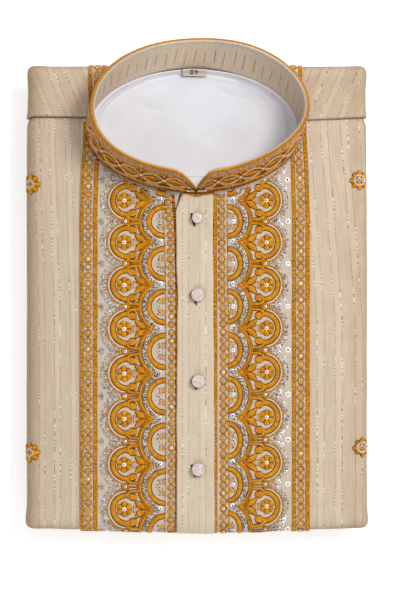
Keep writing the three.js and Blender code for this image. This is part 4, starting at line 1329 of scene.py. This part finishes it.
def bar(works, at, first, last, width=2.9):
    """A straight bar of separate slanting satin stitches, its edges a little uneven, on a flat band half in
    the edge colour: painted shade round the stitches.
    """
    orange, bead = works.orange, works.bead
    y = np.arange(first, last, 1.6)
    path = np.stack([at + 0.12 * np.sin(y / 7), y], 1)
    # A flat band beneath, half in the edge colour: painted shade round the stitches.
    orange.ribbon(path, width + 0.25 + rng.uniform(-0.2, 0.2, len(y)), 0.12, TOP, -0.3, sections=4)
    for y in np.arange(first + 0.8, last - 0.8, 0.95):
        half, middle = width / 2 + rng.uniform(-0.25, 0.25), at + 0.12 * math.sin(y / 7)
        stitch = line(middle - half, y - 0.45, middle + half, y + 0.45, 4)
        width_along = 1.08 * np.array([0.8, 1, 1, 0.8])
        orange.ribbon(stitch, width_along, 0.55, TOP + 0.08, rng.uniform(0.45, 0.85), sections=4)
        if rng.random() < 0.7:
            fleck = (middle + rng.uniform(-half, half), y + rng.uniform(-0.4, 0.4))
            if rng.random() < 0.72:
                orange.spot(*fleck, 0.42, TOP + 0.45, DARK, height=0.2, sides=6)
            else:
                bead.spot(*fleck, 0.32, TOP + 0.5, 1.0, height=0.2, sides=6)


def bead_strip(work, at, first, last, width):
    """Pale couched threads that fill the strip beneath a chain of rings."""
    for a in np.arange(at - width / 2 + 0.4, at + width / 2, 0.8):
        for start in np.arange(first, last, 9.0):
            rows = np.arange(start, min(start + 8.6, last), 2.1)
            if len(rows) > 1:
                thread = np.stack([a + rng.uniform(-0.08, 0.08, len(rows)), rows], 1)
                work.ribbon(thread, 0.7, 0.25, TOP, rng.uniform(0.2, 1.0), sections=4)


def ground_sheet(name, s, t, node, lift=TOP):
    """The cloth that the needlework is worked on, an eased layer over the kurta's own."""
    points = on_cloth(s, t, lift)
    uv = np.stack([s, t], -1)
    piece = cloth_piece(name, points, uv, 0.6 * GROUND, SILK_GROUND, flip=True)
    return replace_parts(piece, node)


def embroider_front(name, side):
    sign = side["sign"]
    neck_edge = sign * NECK["x"] + NECK["a"] + CLEAR["ground"]
    near_edge = sign * PLACKET["x"] + PLACKET["half_width"] + GAP
    far = from_middle(side, PANEL_FAR)
    across = np.concatenate([
        near_edge + (neck_edge - 0.05 - near_edge) * np.sin(np.linspace(0, 0.5, 30) * math.pi),
        [neck_edge + 0.35, neck_edge + 0.7, far - 0.3],
    ])
    across = np.sort(sign * across[across < far])
    t = rows_to(front_top(across, CLEAR["ground"]), 3.0, 24)
    s = np.broadcast_to(across, t.shape)
    s = s - sign * leaned(np.abs(s), t)
    ground_sheet(f"panel_ground_{name}", s, t, f"embroidery_{name}")

    chart, keep, mirrored = panel_chart(side), panel_keep(side), sign < 0
    works = Works(chart, keep, mirrored)
    strips = Work(chart, keep, mirrored)
    low, high = -CORE_Y - WRAP + 3, SHOULDER_SEAM - 2
    for index in range(-1, PATTERN["scallops"]):
        y, after = scallop_y(index), scallop_y(index + 1)
        half = (y - after) / 2
        scallop(works, y, half, side["bright"])
        inner_arch(works, (y + after) / 2, half, side["bright"])
    for at, width in side["bars"]:
        bar(works, at, low, 79 if at < 20 else high, width)
    if sign < 0:
        for y in np.arange(low, 78, 1.05):
            x = float(np.interp(y, *side["chain"]))
            stitch, tone = line(x - 5.3, y - 0.4, x - 2.8, y + 0.4, 4), rng.choice([-0.5, -0.15, 0.1, 0.3])
            works.orange.ribbon(stitch, 1.15, 0.35, TOP + 0.15, tone, sections=4)
    bead_strip(strips, AT["outer_chain"], low, high, 6.4)
    bead_strip(strips, AT["inner_chain"], low, 90, 6.6)
    ring_chain(works, ([0], [AT["outer_chain"]]), low, high, side["ring"])
    ring_chain(works, side["chain"], low, 82, side["ring"] - 0.05)
    for y in np.arange(low, 100, 1.5):
        x = float(np.interp(y, *side["chain"])) + 4.1
        stitch, tone = line(x - 0.3, y, x + 0.4, y + 1.0), rng.choice([-0.4, 0.2, 0.5, 0.8])
        works.orange.ribbon(stitch, 0.9, 0.4, TOP, tone, sections=4)
    works.pieces(f"panel_{{}}_{name}", FINISHES)
    strips.piece(f"panel_strips_{name}", PALE, "embroidery")


def embroider_shoulder(name, side):
    """The panel's border carried on over the shoulder and the head fold, beside the collar."""
    sign, edge = side["sign"], side["shoulder"]
    across = np.sort(sign * np.linspace(edge - SHOULDER_BORDER, edge, 12))
    t, _ = back_rows(across, CLEAR["ground"])
    s = np.broadcast_to(across, t.shape)
    ground_sheet(f"shoulder_ground_{name}", s, t, f"shoulder_border_{name}", TOP - 0.3)

    def chart(a, b, lift):
        return on_cloth(sign * (edge - a), b, lift - 0.35)

    def keep(a, b):
        clear = neck_reach(sign * (edge - a), b, CLEAR["shoulder"]) > 1
        return clear & (b > SHOULDER_SEAM + 0.8) & (b < CORE_Y + WRAP - 1)

    works = Works(chart, keep, sign > 0)
    strips = Work(chart, keep, sign > 0)
    first, last = SHOULDER_SEAM + 1, CORE_Y + WRAP - 1.5
    bar(works, 1.7, first, last)
    bar(works, 11.7, first, last)
    bead_strip(strips, 6.8, first, last, 6.4)
    ring_chain(works, ([0], [6.8]), first + 1, last, 2.7)
    for a in (14.2, 15.5, 16.8):
        for b in np.arange(first, last, 1.7):
            works.bead.spot(a, b + rng.uniform(-0.4, 0.4), 0.5, TOP, rng.choice([0.1, 0.4, 0.9]))
    works.pieces(f"shoulder_{{}}_{name}", FINISHES)
    strips.piece(f"shoulder_strips_{name}", PALE, "embroidery")


def motifs():
    """Small flowers on the sides, of eight orange petals: the left ones round a pale diamond with an orange
    eye, the right ones round a pale disc with four dark beads and a gold cross."""
    for name, (s0, t0) in MOTIFS.items():
        def chart(a, b, lift, s0=s0, t0=t0):
            return on_cloth(s0 + a, t0 + b, lift)

        orange, silver, bead, cream = (Work(chart) for _ in range(4))
        size = 1.0 if s0 < 0 else 0.93
        orange.spot(0, 0, 5.2 * size, 0.1, 0.25, height=0.35, sides=24)
        for k in range(8):
            turn = math.radians(45 * k + rng.uniform(-5, 5))
            reach = size * np.linspace(2.6, 7.6 if k % 2 else 7.9, 9)
            petal = np.stack([reach * math.cos(turn), reach * math.sin(turn)], 1)
            width = np.interp(np.arange(9), [0, 3, 6, 8], [3.0, 4.2, 3.2, 1.2])
            orange.with_shade_outline(petal, width, 0.7, 0.15, rng.uniform(0.35, 0.75), edge=0.3)
        if s0 < 0:
            middle = bent_line([(3.3, 0), (0, 3.6), (-3.3, 0), (0, -3.6), (3.3, 0)], 29)[:-1]
        else:
            middle = arc(0, 0, 3.5, 3.7, 0, 345, 24)
        cream.ribbon(middle, 1.0, 0.5, 0.65, 0.7, closed=True)
        silver.spot(0, 0, 2.5 if s0 < 0 else 3.1, 0.5, 0.5, height=0.35, sides=16)
        if s0 < 0:
            orange.spot(0.6, 0, 1.5, 0.75, 0.7, height=0.4, sides=12)
            bead.spot(-1.1, 0.2, 0.8, 0.75, 0.0, height=0.4)
        else:
            for a in (-1.3, 1.3):
                for b in (-1.8, 2.0):
                    bead.spot(a, b, 0.66, 0.8, 0.0, height=0.35)
            orange.ribbon(line(-1.5, 0.1, 1.5, 0.1, 3), 0.7, 0.3, 0.8, 0.7, sections=4)
            orange.ribbon(line(0, -1.4, 0, 1.6, 3), 0.7, 0.3, 0.8, 0.7, sections=4)
        for k in range(8):
            turn = math.radians(45 * k + 22)
            bead.spot(4.4 * math.cos(turn), 4.4 * math.sin(turn), 0.42, 0.5, rng.choice([0.0, 0.2, 0.8]))
        petals = orange.piece(f"motif_thread_{name}", ORANGE, "embroidery")
        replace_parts(petals, f"motif_{name}")
        silver.piece(f"motif_silver_{name}", SILVER, "embroidery")
        bead.piece(f"motif_beads_{name}", BEAD, "embroidery")
        cream.piece(f"motif_cream_{name}", PALE, "embroidery")


# ------------------------------------------------------------------ the collar's needlework


def embroider_collar():
    """Cords round the band, waves of cord that cross in its middle, and leaves and sprigs between them."""
    face = GAP / 2 + CLOTH
    middle = 14.2

    def chart(a, h, lift):
        return on_band(a, np.clip(h, 0.2, COLLAR["height"]), face + lift)

    def keep(a, h):
        return (a > 1.0) & (a < BAND - 1.0) & (h >= 0)

    works = Works(chart, keep)
    thread, silver, sequin, bead, cream = works.all
    around = np.arange(1.2, BAND - 1.2, 1.6)

    def hoop(work, h, width, height=0.5, tone=0.5, wave=0.0, pitch=34.0, base=0.0):
        level = h + wave * np.sin(around / pitch * 2 * math.pi)
        work.ribbon(np.stack([around, level], 1), width, height, base, tone)

    hoop(thread, 1.2, 2.0, tone=0.15)
    hoop(thread, 3.8, 2.6, tone=0.85)
    hoop(cream, 5.8, 1.3, tone=0.7)
    hoop(thread, 22.8, 2.6, tone=0.8)
    hoop(silver, 25.2, 2.4)
    hoop(thread, 27.4, 1.8, tone=0.75)
    hoop(cream, 28.7, 0.8, tone=0.5)
    hoop(thread, 29.5, 0.8, tone=0.5)

    def level(a, rise):
        """How far up the band a point at a share of the collar's whole height is."""
        return COLLAR["height"] * rise / end_shape(np.interp(a, BAND_LENGTHS, BAND_ANGLES))

    # A short pale bar lies over the notch's foot, with a sequin at both ends.
    for a in (np.linspace(1.05, 6.4, 9), np.linspace(BAND - 5.2, BAND - 1.05, 8)):
        cream.ribbon(np.stack([a, level(a, 0.12)], 1), 2.6, 0.5, 0.7, 1.0)
        bead.ribbon(np.stack([a, level(a, 0.19)], 1), 1.8, 0.3, 0.6, 0.0)
    for a in (7.0, BAND - 5.8):
        sequin.spot(a, float(level(a, 0.12)), 1.1, 0.9, 1.0, height=0.3, sides=12, tilt=0.1)
    for h, gap in ((23.1, 2.6), (27.4, 2.1), (3.6, 2.4)):
        for a in np.arange(2, BAND - 2, gap):
            bead.spot(a, h + rng.uniform(-0.3, 0.3), 0.5, 0.5, rng.choice([0.0, 0.1, 0.8]), height=0.3)
    for wave in (8.0, -8.0):
        hoop(thread, middle, 2.3, wave=wave, tone=0.85)
    for wave in (5.8, -5.8):
        hoop(cream, middle, 1.7, wave=wave, tone=0.7, base=0.15)
    for k, a in enumerate(np.arange(8.5, BAND - 8, 17.0)):
        steps = np.linspace(-5.9, 5.9, 15)
        lean = 0.9 * (1 if k % 2 else -1) * steps / 5.9
        leaf = np.stack([a + steps, middle + lean], 1)
        thread.with_shade_outline(leaf, leaf_width(15, 8.0), 0.8, 0.1, 0.7 + 0.15 * (k % 3), edge=0.6)
        thread.ribbon(line(a - 4, middle, a + 4, middle, 5), 0.6, 0.3, 0.9, DARK)
        x = a + 8.5
        for way in (-1, 1):
            for side in (-1, 1):
                start = (x + 2.3 * side, middle + 6.4 * way)
                sprig = arc(*start, 1.9, 2.0, -110 * way, 160 * way, 13, side)
                thread.with_shade_outline(sprig, np.linspace(0.9, 1.7, 13), 0.6, 0.1, 0.95, edge=0.35)
        thread.with_shade_outline(arc(x, middle, 1.9, 2.4, 0, 345, 17), 1.5, 0.6, 0.1, 0.7, closed=True)
        sequin.spot(x, middle, 1.0, 0.4, 0.9, height=0.3)
        for da, dh in ((-2.9, 3.6), (2.9, 3.6), (-2.9, -3.6), (2.9, -3.6), (0, 5.6), (0, -5.6)):
            bead.spot(x + da, middle + dh, 0.65, 0.1, rng.choice([0.1, 0.6, 1.0]))
    works.pieces("collar_{}", (BROWN, SILVER, SEQUIN, BEAD, COLLAR_CREAM))

    # Short gold dashes stand on the facing, and a fine light cord lies along its top.
    inside, piping = (Work(lambda a, h, lift: on_band(a, h, -face - lift), mirrored=True) for _ in range(2))
    for a in np.arange(14, BAND - 12, 7.4):
        low = rng.uniform(5, 9)
        path = line(a + rng.uniform(-0.6, 0.6), low, a + rng.uniform(-0.6, 0.6), low + rng.uniform(11, 15), 8)
        inside.ribbon(path, 0.8, 0.12, 0.0, rng.uniform(0.3, 1.0), sections=4)
    inside.piece("facing_dashes", DASH, "collar_facing")
    round_it = np.arange(8, BAND - 8, 2.0)
    near_rim = np.full(len(round_it), COLLAR["height"] - 0.7)
    piping.ribbon(np.stack([round_it, near_rim], 1), 1.0, 0.5, 0.0, 0.8)
    piping.piece("facing_piping", PALE, "collar_facing")

    # The corded edge runs up one front end, round the rim and down the other end.
    along = np.concatenate([np.full(7, 0.6), np.arange(0.7, 17, 0.5), np.arange(17, BAND - 17, 1.5),
                            np.arange(BAND - 17, BAND - 0.7, 0.5), np.full(7, BAND - 0.6)])
    climb = np.linspace(0.02, 1, 7)[:-1]
    rise = np.concatenate([climb, np.full(len(along) - 12, 1.0), climb[::-1]])
    tube("collar_rope", along, rise, 0.75)


def tube(name, along, rise, radius):
    """A cord over the collar's edge, at a share of the band's height along it."""
    middle = on_band(along, COLLAR["height"] * rise, 0.6)
    ahead = np.concatenate([middle[1:], middle[-1:]]) - np.concatenate([middle[:1], middle[:-1]])
    length = np.concatenate([[0], np.cumsum(np.linalg.norm(np.diff(middle, axis=0), axis=1))]) / MM
    ahead /= np.maximum(np.linalg.norm(ahead, axis=1, keepdims=True), 1e-12)
    outward = on_band(along, COLLAR["height"] * rise, 1.6) - middle
    outward /= np.linalg.norm(outward, axis=1, keepdims=True)
    up = np.cross(outward, ahead)
    turn = np.linspace(0, 2 * math.pi, 13)[:-1]
    ring = outward[:, None] * np.cos(turn)[None, :, None] + up[:, None] * 0.85 * np.sin(turn)[None, :, None]
    points = middle[:, None] + ring * radius * MM
    slant = np.tile(turn, (len(along), 1)) * 0.45
    uv = np.stack([length[:, None] + slant, np.full(slant.shape, 0.2)], -1)
    size = len(turn)
    faces = []
    for row in range(0, (len(along) - 1) * size, size):
        for k in range(size):
            after = (k + 1) % size
            faces.append([row + k, row + size + k, row + size + after, row + after])
    # Painted highlights: the cord is lighter near both front ends.
    end_highlights = np.exp(-(((length - 36) / 12) ** 2)) + np.exp(-(((length[-1] - length - 22) / 8) ** 2))
    tone = np.repeat(0.5 + 0.5 * end_highlights, size)
    piece = mesh_piece(name, points.reshape(-1, 3), faces, ORANGE, uv.reshape(-1, 2), "thread", tone)
    return piece


# ------------------------------------------------------------------ all of it

folded_stack()
for side_name, side in SIDES.items():
    front("front_" + side_name, side)
back()
lining()
collar()
size_tab()
placket()
buttons()
for side_name, side in SIDES.items():
    embroider_front(side_name, side)
    embroider_shoulder(side_name, side)
motifs()
embroider_collar()
buttonholes()

# ------------------------------------------------------------------ floor, light and camera


# Round lights: place and size in metres, and power in watts.
LIGHTS = {"key": ((1.2, 0.9, 1.7), 0.9, 34), "front": ((-0.2, -1.5, 1.5), 1.2, 7)}
WHITE = (1.0, 1.0, 1.0, 1.0)
# The camera hangs over a point beside the source's origin, at a distance above the level that the view, the
# photo's height in metres, is measured at.
CAMERA = {"beside": (0.00815, -0.0033), "level": 0.031, "distance": 1.6, "view": 0.4498, "sensor": 36}


def area_light(name, place, size, power):
    """A round light that is aimed at the frame's origin."""
    data = bpy.data.lights.new(name, "AREA")
    data.shape = "DISK"
    data.size, data.energy = size, power
    light = bpy.data.objects.new(name, data)
    light.location = place
    light.rotation_euler = (-Vector(place)).to_track_quat("-Z", "Y").to_euler()
    bpy.context.scene.collection.objects.link(light)


def studio():
    bpy.ops.mesh.primitive_plane_add(size=6, location=(0, 0, -0.0004))
    floor = bpy.context.object
    floor.name = "studio_floor"
    floor.data.materials.append(floor_material())
    world = bpy.data.worlds.new("studio_light")
    world.use_nodes = True
    background = world.node_tree.nodes["Background"]
    background.inputs["Color"].default_value = WHITE
    background.inputs["Strength"].default_value = 0.5
    for name, settings in LIGHTS.items():
        area_light(name, *settings)
    scene = bpy.context.scene
    scene.world = world
    scene.view_settings.view_transform = "Standard"
    scene.view_settings.look = "None"


def camera():
    data = bpy.data.cameras.new("camera")
    data.sensor_fit = "AUTO"
    data.sensor_width = CAMERA["sensor"]
    data.lens = CAMERA["sensor"] * CAMERA["distance"] / CAMERA["view"]
    made = bpy.data.objects.new("camera", data)
    x, y = ORIGIN[:2] + CAMERA["beside"]
    made.location = (x, y, CAMERA["level"] + CAMERA["distance"])
    bpy.context.scene.collection.objects.link(made)
    bpy.context.scene.camera = made


studio()
camera()
